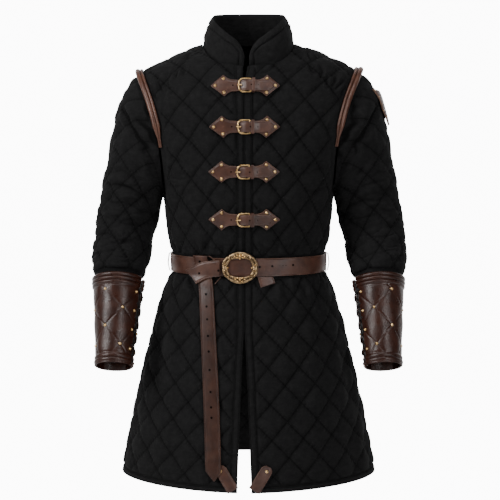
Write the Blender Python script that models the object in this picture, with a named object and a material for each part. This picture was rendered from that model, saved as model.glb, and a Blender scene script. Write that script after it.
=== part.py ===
# A quilted arming coat (gambeson) in its worn, hollow form.
# Metres, +Z up. The front faces -Y and the wearer's left is +X.
# The origin is at the middle of the neck's base, level with the top of the shoulders.

import math

import bpy
import numpy as np
from mathutils.geometry import delaunay_2d_cdt

COLLECTION = "gambeson"

# Cloth and leather
WALL = 0.0030             # padded cloth, at a quilting channel
QUILT_RISE = 0.0040       # a diamond's middle above its channels
BAND_THICK = 0.0018       # edge and hem bands
COLLAR_THICK = 0.0090      # at its thickest, halfway up
COLLAR_BULGE = 0.0035     # how far the collar bows outward halfway up
LEATHER = 0.0026          # straps and tabs
BELT_THICK = 0.0032
GAP = 0.0003              # parting between pieces that touch
SEAM = 0.00025            # half of the parting at a sewn seam
ON_CLOTH = WALL + QUILT_RISE + GAP    # lift of what lies on the quilting
BAND_LIFT = 0.0010        # parting between an edge band and its panel

# Heights
HEM = -0.9015
CHEST = -0.200            # above this the fronts and back curve over to the shoulder seam
ARMPIT = -0.292
WAIST = -0.4537
SLIT_TOP = -0.585
NECK_FRONT = -0.0495
NECK_BACK = -0.004
NECK_SIDE_X = 0.094

# Front closure
CENTRE = -0.0085          # where the two fronts meet
SLIT_HALF = 0.014         # each front edge's drift from the centre at the hem
NECK_SLIT_FROM = -0.100   # pattern height where the wearer's left front edge turns aside
NECK_SLIT = 0.0075        # how far aside it is at the neckline
PLACKET = 0.014
HEM_BAND = 0.012

# Quilting: diamonds between two sets of slanting channels
QUILT_HEIGHT = 0.0795     # a diamond's height above the waist
SKIRT_QUILT_HEIGHT = 0.0715
QUILT_ROW_AT = -0.1545    # a level where channels cross
SKIRT_FROM = -0.513
FRONT_QUILT_START = 0.33  # the first crossing's distance from the front edge, in half diamonds
SLEEVE_DIAMONDS = 6
SLEEVE_QUILT_HEIGHT = 0.076

OVER_POWER = 2.2          # roundness of the curve from the chest over the shoulder
RIGHT_DROP = 0.0045       # how far the wearer's right shoulder sits lower
LEFT_OUT = 0.0055         # how far the left sleeve stands out further than the right one


def table(names, rows):
    columns = zip(*rows)
    return {name: np.array(column, float) for name, column in zip(names.split(), columns)}


# The inner surface of the body, one row for each level: a section is half an oval in front and
# half an oval behind. Squareness 2 is an ellipse. quilt_width is a diamond's width there.
BODY = table("height half_width front back squareness quilt_width", (
    (-0.930, 0.2680, 0.1925, 0.1820, 1.76, 0.069),
    (-0.905, 0.2640, 0.1900, 0.1795, 1.76, 0.068),
    (-0.820, 0.2480, 0.1780, 0.1690, 1.80, 0.067),
    (-0.750, 0.2335, 0.1670, 0.1590, 1.86, 0.066),
    (-0.680, 0.2175, 0.1550, 0.1490, 1.92, 0.065),
    (-0.613, 0.2010, 0.1430, 0.1390, 2.00, 0.063),
    (-0.560, 0.1870, 0.1330, 0.1310, 2.05, 0.062),
    (-0.525, 0.1765, 0.1255, 0.1250, 2.10, 0.061),
    (-0.494, 0.1645, 0.1170, 0.1180, 2.10, 0.059),
    (-0.476, 0.1550, 0.1120, 0.1125, 2.10, 0.057),
    (-0.4537, 0.1542, 0.1115, 0.1120, 2.10, 0.056),
    (-0.431, 0.1550, 0.1122, 0.1127, 2.10, 0.056),
    (-0.410, 0.1600, 0.1180, 0.1165, 2.15, 0.057),
    (-0.360, 0.1670, 0.1260, 0.1215, 2.25, 0.060),
    (-0.325, 0.1700, 0.1300, 0.1245, 2.35, 0.062),
    (-0.292, 0.1735, 0.1320, 0.1270, 2.45, 0.064),
    (-0.250, 0.1875, 0.1335, 0.1285, 2.50, 0.065),
    (-0.215, 0.2030, 0.1335, 0.1290, 2.50, 0.066),
    (-0.176, 0.2185, 0.1330, 0.1290, 2.50, 0.066),
    (-0.140, 0.2290, 0.1330, 0.1290, 2.50, 0.066),
    (-0.100, 0.2350, 0.1330, 0.1290, 2.50, 0.066),
    (-0.060, 0.2440, 0.1330, 0.1290, 2.50, 0.066),
    (0.040, 0.2500, 0.1330, 0.1290, 2.50, 0.066),
))

# The shoulder seam: its height by how far out it is, as a part of the half width.
SHOULDER = table("part height", (
    (0.000, 0.0300),
    (0.200, 0.0170),
    (0.384, -0.0085),
    (0.495, -0.0145),
    (0.641, -0.0300),
    (0.792, -0.0466),
    (0.945, -0.0633),
    (1.000, -0.0700),
))

# The sleeve's inner surface, one row for each ring, from the shoulder down. A ring goes through
# its inner and its outer point. pitch tips its front edge up, in degrees.
SLEEVE = table("ring inner_x inner_z outer_x outer_z centre_y half_depth pitch", (
    (1.0, 0.1820, -0.2985, 0.2545, -0.0990, 0.000, 0.0860, 0),
    (2.0, 0.1870, -0.3080, 0.2680, -0.1360, 0.002, 0.0810, 0),
    (3.0, 0.1890, -0.3195, 0.2790, -0.1800, 0.004, 0.0750, 2),
    (4.0, 0.1912, -0.3340, 0.2875, -0.2300, 0.007, 0.0690, 3),
    (5.0, 0.1950, -0.3520, 0.2985, -0.2830, 0.009, 0.0640, 4),
    (6.0, 0.2000, -0.3740, 0.3085, -0.3350, 0.009, 0.0600, 6),
    (7.0, 0.2065, -0.4000, 0.3155, -0.3850, 0.002, 0.0570, 12),
    (8.0, 0.2120, -0.4360, 0.3195, -0.4280, -0.013, 0.0540, 18),
    (9.0, 0.2185, -0.4700, 0.3205, -0.4670, -0.030, 0.0510, 23),
    (10.0, 0.2269, -0.4870, 0.3131, -0.4850, -0.0385, 0.0430, 25),
    (11.0, 0.2341, -0.5670, 0.3101, -0.5654, -0.0756, 0.0378, 25),
    (12.0, 0.2410, -0.6396, 0.3070, -0.6382, -0.1091, 0.0328, 25),
))

# The largest folds of a sleeve: troughs between two points, each a turn from the outer line
# towards the front (in degrees) and a distance above the cuff.
SLEEVE_FOLDS = table("turn_from high_from turn_to high_to half_width depth", (
    (48, 0.345, 118, 0.185, 0.016, 0.0060),
    (-48, 0.335, -118, 0.185, 0.016, 0.0050),
    (60, 0.105, 165, 0.090, 0.012, 0.0050),
    (75, 0.065, 170, 0.058, 0.012, 0.0045),
    (-110, 0.100, -175, 0.085, 0.012, 0.0040),
))

# The armhole seam
ARMHOLE_TOP_PART = 0.918  # how far out the seam starts on the shoulder, as a part of the half width
ARMHOLE_INSET = 0.016     # how far it curves in over the chest and the shoulder blade

# The collar's top edge, by the turn from the front round to the back, in degrees
COLLAR_TOP = table("turn half_width_part front_part height", (
    (0.0, 0.88, 0.93, -0.0300),
    (1.5, 0.88, 0.93, -0.0220),
    (5.0, 0.875, 0.925, -0.0110),
    (11.0, 0.87, 0.92, -0.0005),
    (24.0, 0.86, 0.90, 0.0125),
    (44.0, 0.85, 0.88, 0.0295),
    (66.0, 0.84, 0.90, 0.0455),
    (90.0, 0.835, 0.95, 0.0545),
    (130.0, 0.84, 0.94, 0.0600),
    (180.0, 0.85, 0.95, 0.0620),
))
COLLAR_STARTS = (5.8, 0.7)       # degrees from the middle to its right and its left front end
COLLAR_RISE = table("part outer inner", (
    (0.0, 0.0, 0.55),
    (0.45, 0.0, 1.0),
    (0.86, 0.0002, 0.95),
    (1.0, 0.0022, 0.68),
))

# A closure strap, from the tip of its diamond base across the centre to its pointed end
STRAP = table("across half_height lift", (
    (-0.0700, 0.0008, 0.0),
    (-0.0570, 0.0110, 0.0),
    (-0.0440, 0.0215, 0.0),
    (-0.0360, 0.0150, 0.0),
    (-0.0290, 0.0120, 0.0),
    (-0.0200, 0.0115, 0.0),
    (-0.0120, 0.0108, 0.0),
    (-0.0040, 0.0105, 0.0027),
    (0.0040, 0.0105, 0.0060),
    (0.0080, 0.0105, 0.0064),
    (0.0190, 0.0105, 0.0062),
    (0.0270, 0.0105, 0.0031),
    (0.0480, 0.0105, 0.0030),
    (0.0580, 0.0008, 0.0030),
))
CHAPE = table("across half_height lift", (
    (0.0060, 0.0110, 0.0),
    (0.0220, 0.0115, 0.0),
    (0.0290, 0.0120, 0.0),
    (0.0360, 0.0150, 0.0),
    (0.0440, 0.0215, 0.0),
    (0.0570, 0.0110, 0.0),
    (0.0700, 0.0008, 0.0),
))
# size is a closure's width on the pattern, which the chest spreads wider further up
CLOSURES = table("height across sink size", (
    (-0.0900, 0.0030, 0.0, 0.845),
    (-0.1700, 0.0012, 0.0, 0.94),
    (-0.2590, -0.0005, 0.0008, 1.0),
    (-0.3545, 0.0000, 0.0, 1.0),
))
BUCKLE_WIRE = 0.0015
BUCKLE_LIFT = LEATHER + GAP + BUCKLE_WIRE
BUCKLE_HALF = 0.0140
KEEPER_FROM = 0.0125
KEEPER_TO = 0.0195
KEEPER_THICK = 0.0015

# Belt
BELT_HALF = 0.019
ON_WAIST = WALL + BAND_LIFT + BAND_THICK + 2 * GAP
ON_BELT = ON_WAIST + BELT_THICK + 2 * GAP
RING_CENTRE = -0.0080     # from the front closure
RING_HALF_WIDTH = 0.0356
RING_HALF_HEIGHT = 0.0372
RING_BAND = 0.0125        # at its sides
RING_BAND_UP = 0.0160     # at its top and foot
RING_THICK = 0.0055

# The belt's loose end: over the belt's top edge, behind the band, and down to the hem.
# across is from the front closure, and lift is above the body's inner surface.
TAIL = table("height across half_width lift", (
    (-0.8790, -0.0585, 0.0010, ON_CLOTH + LEATHER + GAP),
    (-0.8600, -0.0600, 0.0155, ON_CLOTH + LEATHER + GAP),
    (-0.8440, -0.0608, 0.0160, ON_CLOTH + LEATHER + GAP),
    (-0.8000, -0.0625, 0.0160, ON_CLOTH),
    (-0.7400, -0.0645, 0.0160, ON_CLOTH),
    (-0.6800, -0.0670, 0.0158, ON_CLOTH),
    (-0.6200, -0.0700, 0.0156, ON_CLOTH),
    (-0.5600, -0.0730, 0.0152, ON_CLOTH),
    (-0.5200, -0.0750, 0.0150, ON_CLOTH),
    (-0.4960, -0.0767, 0.0150, ON_CLOTH + 0.0006),
    (-0.4860, -0.0777, 0.0151, ON_BELT - 0.0008),
    (-0.4770, -0.0790, 0.0153, ON_BELT),
    (-0.4650, -0.0808, 0.0156, ON_BELT),
    (-0.4480, -0.0840, 0.0160, ON_BELT),
    (-0.4330, -0.0870, 0.0160, ON_BELT),
    (-0.4290, -0.0875, 0.0160, ON_BELT - 0.0010),
))
# The band that locks the loose end, from the ring outwards
BAND = table("across top bottom", (
    (-0.0465, -0.4375, -0.4735),
    (-0.0600, -0.4395, -0.4765),
    (-0.0740, -0.4415, -0.4820),
    (-0.0860, -0.4455, -0.4890),
    (-0.0950, -0.4500, -0.4935),
    (-0.1060, -0.4560, -0.4790),
    (-0.1180, -0.4612, -0.4624),
))

# A belt loop stands proud of the belt between its two sewn ends.
BELT_LOOP = table("height lift", (
    (-0.0232, WALL + 3 * GAP),
    (-0.0217, WALL + 4 * GAP),
    (-0.0203, ON_BELT + 0.0012),
    (0.0000, ON_BELT + 0.0040),
    (0.0203, ON_BELT + 0.0012),
    (0.0217, WALL + 4 * GAP),
    (0.0232, WALL + 3 * GAP),
))
LOOP_WIDTH = 0.010
LOOP_INSET = 0.008        # from the side seam
LOOP_THICK = 0.0016

# The tab below the belt by its two edges, and a hem tab by its middle line
BELT_TAB = table("left left_height right right_height", (
    (0.0260, -0.4740, 0.0568, -0.4738),
    (0.0290, -0.4850, 0.0592, -0.4812),
    (0.0328, -0.4960, 0.0614, -0.4882),
))
HEM_TAB = table("across height half_width lift", (
    (0.0480, -0.8490, 0.0045, ON_CLOTH),
    (0.0466, -0.8515, 0.0090, ON_CLOTH),
    (0.0440, -0.8560, 0.0118, ON_CLOTH),
    (0.0400, -0.8625, 0.0120, ON_CLOTH),
    (0.0330, -0.8740, 0.0120, ON_CLOTH),
    (0.0270, -0.8838, 0.0120, ON_CLOTH - 0.0006),
    (0.0195, -0.8960, 0.0120, ON_CLOTH - 0.0012),
))
HEM_TABS = table("side shift", ((1, 0.0), (-1, -0.0020)))

# The shield on the wearer's left arm, from its foot up
SHIELD = table("high half_width", (
    (0.3250, 0.0020),
    (0.3350, 0.0125),
    (0.3480, 0.0205),
    (0.3630, 0.0240),
    (0.3800, 0.0245),
    (0.3960, 0.0240),
))
SHIELD_TURN = math.radians(8)

# The cuff, along the forearm from its lower end: outer half width and half depth
CUFF_AXIS_TOP = (0.2700, -0.0385, -0.4860)
CUFF_AXIS_END = (0.2745, -0.1175, -0.6570)
CUFF_INNER = np.array([0.0355, 0.0485])   # inner half width at the lower and the upper end
CUFF = table("along half_width half_depth", (
    (0.0000, 0.0385, 0.0375),
    (0.0020, 0.0400, 0.0390),
    (0.0065, 0.0408, 0.0398),
    (0.0110, 0.0398, 0.0388),
    (0.0125, 0.0392, 0.0382),
    (0.0160, 0.0399, 0.0389),
    (0.0195, 0.0392, 0.0382),
    (0.0450, 0.0403, 0.0398),
    (0.0850, 0.0438, 0.0440),
    (0.1300, 0.0477, 0.0484),
    (0.1625, 0.0507, 0.0517),
    (0.1640, 0.0508, 0.0518),
    (0.1670, 0.0530, 0.0540),
    (0.1710, 0.0516, 0.0526),
    (0.1750, 0.0548, 0.0557),
    (0.1790, 0.0530, 0.0539),
    (0.1830, 0.0556, 0.0565),
    (0.1870, 0.0536, 0.0545),
))
CUFF_GAP_TURN = math.radians(168)  # where its laced opening faces, from the outer line to the front
CUFF_GAP_HALF = 0.0070
LACE_RADIUS = 0.0014
LACE_ROWS = 5

# Shoulder piping
ROLL_RADIUS = 0.0050
BEAD_RADIUS = 0.0028
PIPING_END = math.radians(106)     # from the shoulder down to where it tapers away
PIPING_STEPS = 19

COLOURS = {
    "quilted_cotton": ((0.012, 0.012, 0.012), 0.92, 0.0),
    "leather": ((0.075, 0.030, 0.018), 0.50, 0.0),
    "cuff_leather": ((0.050, 0.018, 0.011), 0.38, 0.0),
    "brass": ((0.42, 0.27, 0.11), 0.35, 1.0),
    "lace": ((0.010, 0.010, 0.010), 0.80, 0.0),
}


def smooth(at, knots, values):
    # A smooth curve through a table's column. The values' last axis follows the knots.
    at = np.clip(at, knots[0], knots[-1])
    slopes = np.gradient(values, knots, axis=-1)
    cell = np.clip(np.searchsorted(knots, at) - 1, 0, len(knots) - 2)
    span = knots[cell + 1] - knots[cell]
    t = (at - knots[cell]) / span

    def pick(array, index):
        if array.ndim == 1:
            return array[index]
        return np.take_along_axis(array, index[..., None], axis=-1)[..., 0]

    start = (2 * t**3 - 3 * t**2 + 1) * pick(values, cell)
    leave = (t**3 - 2 * t**2 + t) * span * pick(slopes, cell)
    end = (3 * t**2 - 2 * t**3) * pick(values, cell + 1)
    arrive = (t**3 - t**2) * span * pick(slopes, cell + 1)
    return start + leave + end + arrive


def body_column(name, height):
    return smooth(height, BODY["height"], BODY[name])


# ---------------------------------------------------------------- the body's surface

ANGLES = np.linspace(0, math.pi / 2, 81)


def quarter_lengths(width, depth, power):
    # Arc lengths round a quarter of a squared oval, from its depth end to its width end.
    x = width[:, None] * np.sin(ANGLES) ** (2 / power)[:, None]
    y = depth[:, None] * np.cos(ANGLES) ** (2 / power)[:, None]
    steps = np.hypot(np.diff(x, axis=1), np.diff(y, axis=1)) + 1e-12
    return np.concatenate([np.zeros((len(x), 1)), np.cumsum(steps, axis=1)], axis=1)


def angle_at(lengths, target):
    # The angle where a row of growing lengths reaches its target.
    rows = np.arange(len(target))
    cell = np.clip((lengths < target[:, None]).sum(axis=1) - 1, 0, len(ANGLES) - 2)
    span = lengths[rows, cell + 1] - lengths[rows, cell]
    part = np.clip((target - lengths[rows, cell]) / span, 0, 1)
    return ANGLES[cell] + part * (ANGLES[1] - ANGLES[0])


def length_at(lengths, angle):
    rows = np.arange(len(angle))
    place = angle / (ANGLES[1] - ANGLES[0])
    cell = np.clip(place.astype(int), 0, len(ANGLES) - 2)
    part = place - cell
    return lengths[rows, cell] * (1 - part) + lengths[rows, cell + 1] * part


def body_section(up, facing):
    low = np.minimum(up, CHEST)
    depth = body_column("front" if facing < 0 else "back", low)
    return low, body_column("half_width", low), depth, body_column("squareness", low)


def over_lengths(rise, depth):
    return quarter_lengths(rise, depth, np.full(len(rise), OVER_POWER))


def body(across, up, facing):
    # The body's inner surface. across is an arc length from the middle, towards the wearer's
    # left. up is a height as far as the chest, and then a length over the shoulder.
    across, up = np.broadcast_arrays(np.asarray(across, float), np.asarray(up, float))
    low, width, depth, power = body_section(up, facing)
    angle = angle_at(quarter_lengths(width, depth, power), np.abs(across))
    sideways = np.sin(angle) ** (2 / power)
    forward = depth * np.cos(angle) ** (2 / power)
    rise = smooth(sideways, SHOULDER["part"], SHOULDER["height"]) - CHEST
    over = angle_at(over_lengths(rise, forward), np.maximum(up - CHEST, 0))
    height = low + rise * np.sin(over) ** (2 / OVER_POWER)
    x = np.sign(across) * body_column("half_width", height) * sideways
    y = facing * forward * np.cos(over) ** (2 / OVER_POWER)
    return np.stack([x, y, height], axis=-1)


def body_place(x, z, facing):
    # The inverse: where on the pattern a point at x and z lies.
    low, width, depth, power = body_section(z, facing)
    sideways = np.clip(np.abs(x) / body_column("half_width", z), 0, 1)
    angle = np.arcsin(sideways ** (power / 2))
    across = np.sign(x) * length_at(quarter_lengths(width, depth, power), angle)
    rise = smooth(sideways, SHOULDER["part"], SHOULDER["height"]) - CHEST
    forward = depth * np.cos(angle) ** (2 / power)
    over = np.arcsin(np.clip((z - CHEST) / rise, 0, 1) ** (OVER_POWER / 2))
    return across, low + np.where(z > CHEST, length_at(over_lengths(rise, forward), over), 0)


def side_length(up, facing):
    low, width, depth, power = body_section(np.asarray(up, float), facing)
    return quarter_lengths(width, depth, power)[:, -1]


def shoulder_up(across, facing):
    # How far up the pattern the shoulder seam is.
    up = np.full(len(across), CHEST)
    _, width, depth, power = body_section(up, facing)
    angle = angle_at(quarter_lengths(width, depth, power), np.abs(across))
    sideways = np.sin(angle) ** (2 / power)
    rise = smooth(sideways, SHOULDER["part"], SHOULDER["height"]) - CHEST
    return CHEST + over_lengths(rise, depth * np.cos(angle) ** (2 / power))[:, -1]


def unit(vectors):
    return vectors / np.linalg.norm(vectors, axis=-1, keepdims=True)


def surface_normal(surface, across, up, outward):
    step = 0.0008
    sideways = surface(across + step, up) - surface(across - step, up)
    upward = surface(across, up + step) - surface(across, up - step)
    return outward * unit(np.cross(sideways, upward))


def on_body(facing):
    def place(across, up, lift):
        across, up, lift = np.broadcast_arrays(*(np.asarray(v, float) for v in (across, up, lift)))
        shape = across.shape
        across, up, lift = across.ravel(), up.ravel(), lift.ravel()
        normal = surface_normal(lambda a, b: body(a, b, facing), across, up, -facing)
        return (body(across, up, facing) + normal * lift[:, None]).reshape(shape + (3,))
    return place


FRONT = on_body(-1)
BACK = on_body(1)


def front_edge(up, side):
    # The front edges meet down to the slit and then drift apart. The left one turns aside at the neck.
    part = np.clip((SLIT_TOP - up) / (SLIT_TOP - HEM), 0, 1)
    neck = np.clip((up - NECK_SLIT_FROM) / 0.054, 0, 1) * (side > 0)
    return CENTRE + side * (SEAM * 1.6 + SLIT_HALF * part**0.8 + NECK_SLIT * neck)


def neck_height(x, facing):
    middle = NECK_FRONT if facing < 0 else NECK_BACK
    side = float(smooth(np.array([NECK_SIDE_X / 0.2475]), SHOULDER["part"], SHOULDER["height"])[0])
    return middle + (side - middle) * (np.abs(x) / NECK_SIDE_X) ** (4 if facing < 0 else 3)


def neckline(turn, facing):
    # Pattern places of the neckline, from the middle (turn 0) to the shoulder seam (a right angle).
    x = NECK_SIDE_X * np.sin(turn)
    across, up = body_place(x, neck_height(x, facing), facing)
    seam = shoulder_up(across, facing)
    near = np.clip((np.abs(turn) - math.radians(75)) / math.radians(15), 0, 1)
    return across, up + (seam - up) * near**2


def armhole(turn, facing):
    # Pattern places of the armhole seam, from the shoulder (turn 0) to the underarm (turn pi).
    top_z = float(smooth(np.array([ARMHOLE_TOP_PART]), SHOULDER["part"], SHOULDER["height"])[0])
    top_x = ARMHOLE_TOP_PART * float(body_column("half_width", np.array([top_z]))[0])
    low_x = float(body_column("half_width", np.array([ARMPIT]))[0])
    middle, half = (top_x + low_x) / 2, (top_x - low_x) / 2
    x = middle + half * np.cos(turn) - ARMHOLE_INSET * np.sin(turn) ** 2
    z = (top_z + ARMPIT) / 2 + (top_z - ARMPIT) / 2 * np.cos(turn)
    across, up = body_place(x, z, facing)
    seam = shoulder_up(across, facing)
    near = np.clip(1 - turn / math.radians(14), 0, 1)
    return across, up + (seam - up) * near**2


# ---------------------------------------------------------------- the sleeve's surface

RINGS = np.concatenate([[0.0], SLEEVE["ring"]])
CUFF_TOP_RING = 10.0
RING_STEPS = np.linspace(0, RINGS[-1], 97)


def ring_points(turn):
    # The points of each ring at a turn from the outer line towards the front.
    facing_front = np.sin(turn) >= 0
    fold = np.abs((turn + math.pi) % (2 * math.pi) - math.pi)
    seam = np.where(facing_front[:, None],
                    body(*armhole(fold, -1), -1), body(*armhole(fold, 1), 1))
    middle_x = (SLEEVE["inner_x"] + SLEEVE["outer_x"]) / 2
    middle_z = (SLEEVE["inner_z"] + SLEEVE["outer_z"]) / 2
    half_x = (SLEEVE["outer_x"] - SLEEVE["inner_x"]) / 2
    half_z = (SLEEVE["outer_z"] - SLEEVE["inner_z"]) / 2
    pitch = np.radians(SLEEVE["pitch"])
    out, fore = np.cos(turn)[:, None], np.sin(turn)[:, None]
    x = middle_x + half_x * out
    y = SLEEVE["centre_y"] - SLEEVE["half_depth"] * np.cos(pitch) * fore
    z = middle_z + half_z * out + SLEEVE["half_depth"] * np.sin(pitch) * fore
    rings = np.stack([x, y, z], axis=1)
    return np.concatenate([seam[:, :, None], rings], axis=2)


def sleeve_lines(turn):
    # Lines down the sleeve, with their distance above the cuff's top.
    rings = ring_points(turn)
    at = np.broadcast_to(RING_STEPS, (len(turn), len(RING_STEPS)))
    line = np.stack([smooth_rows(at, rings[:, axis]) for axis in range(3)], axis=-1)
    steps = np.linalg.norm(np.diff(line, axis=1), axis=-1)
    length = np.concatenate([np.zeros((len(turn), 1)), np.cumsum(steps, axis=1)], axis=1)
    cuff = np.argmin(np.abs(RING_STEPS - CUFF_TOP_RING))
    return line, length[:, cuff:cuff + 1] - length


def smooth_rows(at, values):
    slopes = np.gradient(values, RINGS, axis=-1)
    cell = np.clip(np.searchsorted(RINGS, at) - 1, 0, len(RINGS) - 2)
    span = RINGS[cell + 1] - RINGS[cell]
    t = (at - RINGS[cell]) / span
    low, high = np.take_along_axis(values, cell, 1), np.take_along_axis(values, cell + 1, 1)
    leave, arrive = np.take_along_axis(slopes, cell, 1), np.take_along_axis(slopes, cell + 1, 1)
    return ((2 * t**3 - 3 * t**2 + 1) * low + (t**3 - 2 * t**2 + t) * span * leave
            + (3 * t**2 - 2 * t**3) * high + (t**3 - t**2) * span * arrive)


def sleeve_raw(turn, high):
    line, above = sleeve_lines(turn)
    rows = np.arange(len(turn))
    cell = np.clip((above > high[:, None]).sum(axis=1) - 1, 0, len(RING_STEPS) - 2)
    span = above[rows, cell] - above[rows, cell + 1]
    part = np.clip((above[rows, cell] - high) / span, 0, 1)[:, None]
    return line[rows, cell] * (1 - part) + line[rows, cell + 1] * part


def sleeve_cap(turn):
    # How high above the cuff the armhole seam is.
    return sleeve_lines(turn)[1][:, 0]


def sleeve_sink(turn, high):
    # The depth of the folds at a place.
    sink = np.zeros(len(turn))
    radius = 0.062
    for row in range(len(SLEEVE_FOLDS["depth"])):
        fold = {name: column[row] for name, column in SLEEVE_FOLDS.items()}
        start = np.array([math.radians(fold["turn_from"]) * radius, fold["high_from"]])
        end = np.array([math.radians(fold["turn_to"]) * radius, fold["high_to"]])
        wrapped = (turn + math.pi) % (2 * math.pi) - math.pi
        here = np.stack([wrapped * radius, high], axis=-1) - start
        along = np.clip(here @ (end - start) / np.dot(end - start, end - start), 0, 1)
        off = np.linalg.norm(here - along[:, None] * (end - start), axis=-1)
        taper = np.sin(math.pi * (0.12 + 0.76 * along))
        sink += fold["depth"] * taper * np.exp(-(off / fold["half_width"]) ** 2)
    return sink


def on_sleeve(side):
    def place(turn, high, lift):
        turn, high, lift = np.broadcast_arrays(*(np.asarray(v, float) for v in (turn, high, lift)))
        shape = turn.shape
        turn, high, lift = turn.ravel(), high.ravel(), lift.ravel()
        step = 0.0008
        around = sleeve_raw(turn + step / 0.06, high) - sleeve_raw(turn - step / 0.06, high)
        upward = sleeve_raw(turn, high + step) - sleeve_raw(turn, high - step)
        normal = unit(np.cross(upward, around))
        points = sleeve_raw(turn, high) + normal * (lift - sleeve_sink(turn, high))[:, None]
        points[:, 0] *= side
        return points.reshape(shape + (3,))
    return place


# ---------------------------------------------------------------- how it is worn

def eased(value, start, end):
    part = np.clip((value - start) / (end - start), 0, 1)
    return part * part * (3 - 2 * part)


def worn(points):
    # The wearer's right shoulder sits lower, and the left sleeve stands out further.
    points = np.array(points, float)
    x, height = points[..., 0], points[..., 2]
    drop = RIGHT_DROP * eased(-x, 0.05, 0.16) * eased(height, -0.30, -0.10)
    out = LEFT_OUT * eased(x, 0.195, 0.265) * eased(height, -0.50, -0.40)
    points[..., 2] -= drop
    points[..., 0] += out
    return points


# ---------------------------------------------------------------- making solids

def new_material(name):
    colour, roughness, metallic = COLOURS[name]
    material = bpy.data.materials.new(name)
    material.use_nodes = True
    shader = material.node_tree.nodes["Principled BSDF"]
    shader.inputs["Base Color"].default_value = (*colour, 1)
    shader.inputs["Roughness"].default_value = roughness
    shader.inputs["Metallic"].default_value = metallic
    material.diffuse_color = (*colour, 1)
    return material


def add_object(name, data, slot):
    item = bpy.data.objects.new(name, data)
    data.materials.append(new_material(slot))
    data.materials[0].name = name
    bpy.data.collections[COLLECTION].objects.link(item)
    return item


def solid(name, points, faces, slot):
    points = worn(points)
    triangles = np.array([(face[0], face[i], face[i + 1])
                          for face in faces for i in range(1, len(face) - 1)])
    first, second, third = (points[triangles[:, i]] for i in range(3))
    if np.einsum("ij,ij->", first, np.cross(second, third)) < 0:
        triangles = triangles[:, ::-1]
    mesh = bpy.data.meshes.new(name)
    mesh.from_pydata(points.tolist(), [], triangles.tolist())
    mesh.shade_smooth()
    mesh.set_sharp_from_angle(angle=math.radians(40))
    return add_object(name, mesh, slot)


def slab(name, under, over, slot, closed=False):
    # A solid between two grids of points. A closed one comes round to its first row.
    rows, columns = under.shape[:2]
    count = rows * columns
    points = np.concatenate([under.reshape(-1, 3), over.reshape(-1, 3)])
    faces = []
    last = rows if closed else rows - 1
    for i in range(last):
        here, there = i * columns, (i + 1) % rows * columns
        for j in range(columns - 1):
            faces.append((here + j, there + j, there + j + 1, here + j + 1))
            faces.append((count + here + j, count + here + j + 1,
                          count + there + j + 1, count + there + j))
        faces.append((here, count + here, count + there, there))
        j = columns - 1
        faces.append((here + j, there + j, count + there + j, count + here + j))
    if not closed:
        for row, flip in ((0, 1), (rows - 1, -1)):
            for j in range(columns - 1):
                a = row * columns + j
                faces.append((a, a + 1, count + a + 1, count + a)[::flip])
    return solid(name, points, faces, slot)


def sweep(name, sections, slot, closed=False):
    # A closed profile carried along a path. An open one is capped from its profile's last two
    # points, which lie behind all the others.
    rows, count = sections.shape[:2]
    faces = []
    for i in range(rows if closed else rows - 1):
        here, there = i * count, (i + 1) % rows * count
        for j in range(count):
            k = (j + 1) % count
            faces.append((here + j, here + k, there + k, there + j))
    if not closed:
        middle = (count - 2) // 2
        fan = [(count - 1, j, j + 1) for j in range(middle)] + [(count - 1, middle, count - 2)]
        fan += [(count - 2, j, j + 1) for j in range(middle, count - 3)]
        last = (rows - 1) * count
        faces += [(a, c, b) for a, b, c in fan]
        faces += [(last + a, last + b, last + c) for a, b, c in fan]
    solid(name, sections.reshape(-1, 3), faces, slot)


def strip(name, place, left, right, lift, thick, slot, steps=1, closed=False):
    # A flat piece between two edges, each a pair of pattern columns, laid at a lift.
    part = np.linspace(0, 1, steps + 1)
    a = left[0][:, None] * (1 - part) + right[0][:, None] * part
    b = left[1][:, None] * (1 - part) + right[1][:, None] * part
    lift = np.broadcast_to(np.asarray(lift, float), (len(a),))[:, None]
    return slab(name, place(a, b, lift), place(a, b, lift + thick), slot, closed)


def tube(name, points, radius, slot, radii=None, cyclic=False):
    curve = bpy.data.curves.new(name, "CURVE")
    curve.dimensions = "3D"
    curve.bevel_depth = radius
    curve.bevel_resolution = 2
    curve.use_fill_caps = True
    spline = curve.splines.new("POLY")
    spline.points.add(len(points) - 1)
    spline.points.foreach_set("co", np.c_[worn(points), np.ones(len(points))].ravel())
    if radii is not None:
        spline.points.foreach_set("radius", radii)
    spline.use_cyclic_u = cyclic
    return add_object(name, curve, slot)


# ---------------------------------------------------------------- quilted panels

def quilt_row(up):
    # Whole and half numbers at the levels where channels cross.
    above = (up - QUILT_ROW_AT) / QUILT_HEIGHT
    below = (SKIRT_FROM - QUILT_ROW_AT) / QUILT_HEIGHT + (up - SKIRT_FROM) / SKIRT_QUILT_HEIGHT
    return np.where(up > SKIRT_FROM, above, below)


def quilt_up(row):
    bend = (SKIRT_FROM - QUILT_ROW_AT) / QUILT_HEIGHT
    return np.where(row > bend, QUILT_ROW_AT + row * QUILT_HEIGHT,
                    SKIRT_FROM + (row - bend) * SKIRT_QUILT_HEIGHT)


def pillow(column, row):
    # 1 in the middle of a diamond, 0 on the channels round it.
    product = np.sin(math.pi * (column + row)) * np.sin(math.pi * (column - row))
    return np.sqrt(np.abs(product))


def inside(points, outline):
    start, end = outline, np.roll(outline, -1, axis=0)
    x, y = points[:, 0, None], points[:, 1, None]
    spans = (start[:, 1] > y) != (end[:, 1] > y)
    rise = np.where(end[:, 1] == start[:, 1], 1, end[:, 1] - start[:, 1])
    crossing = start[:, 0] + (y - start[:, 1]) / rise * (end[:, 0] - start[:, 0])
    return (spans & (x < crossing)).sum(axis=1) % 2 == 1


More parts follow.
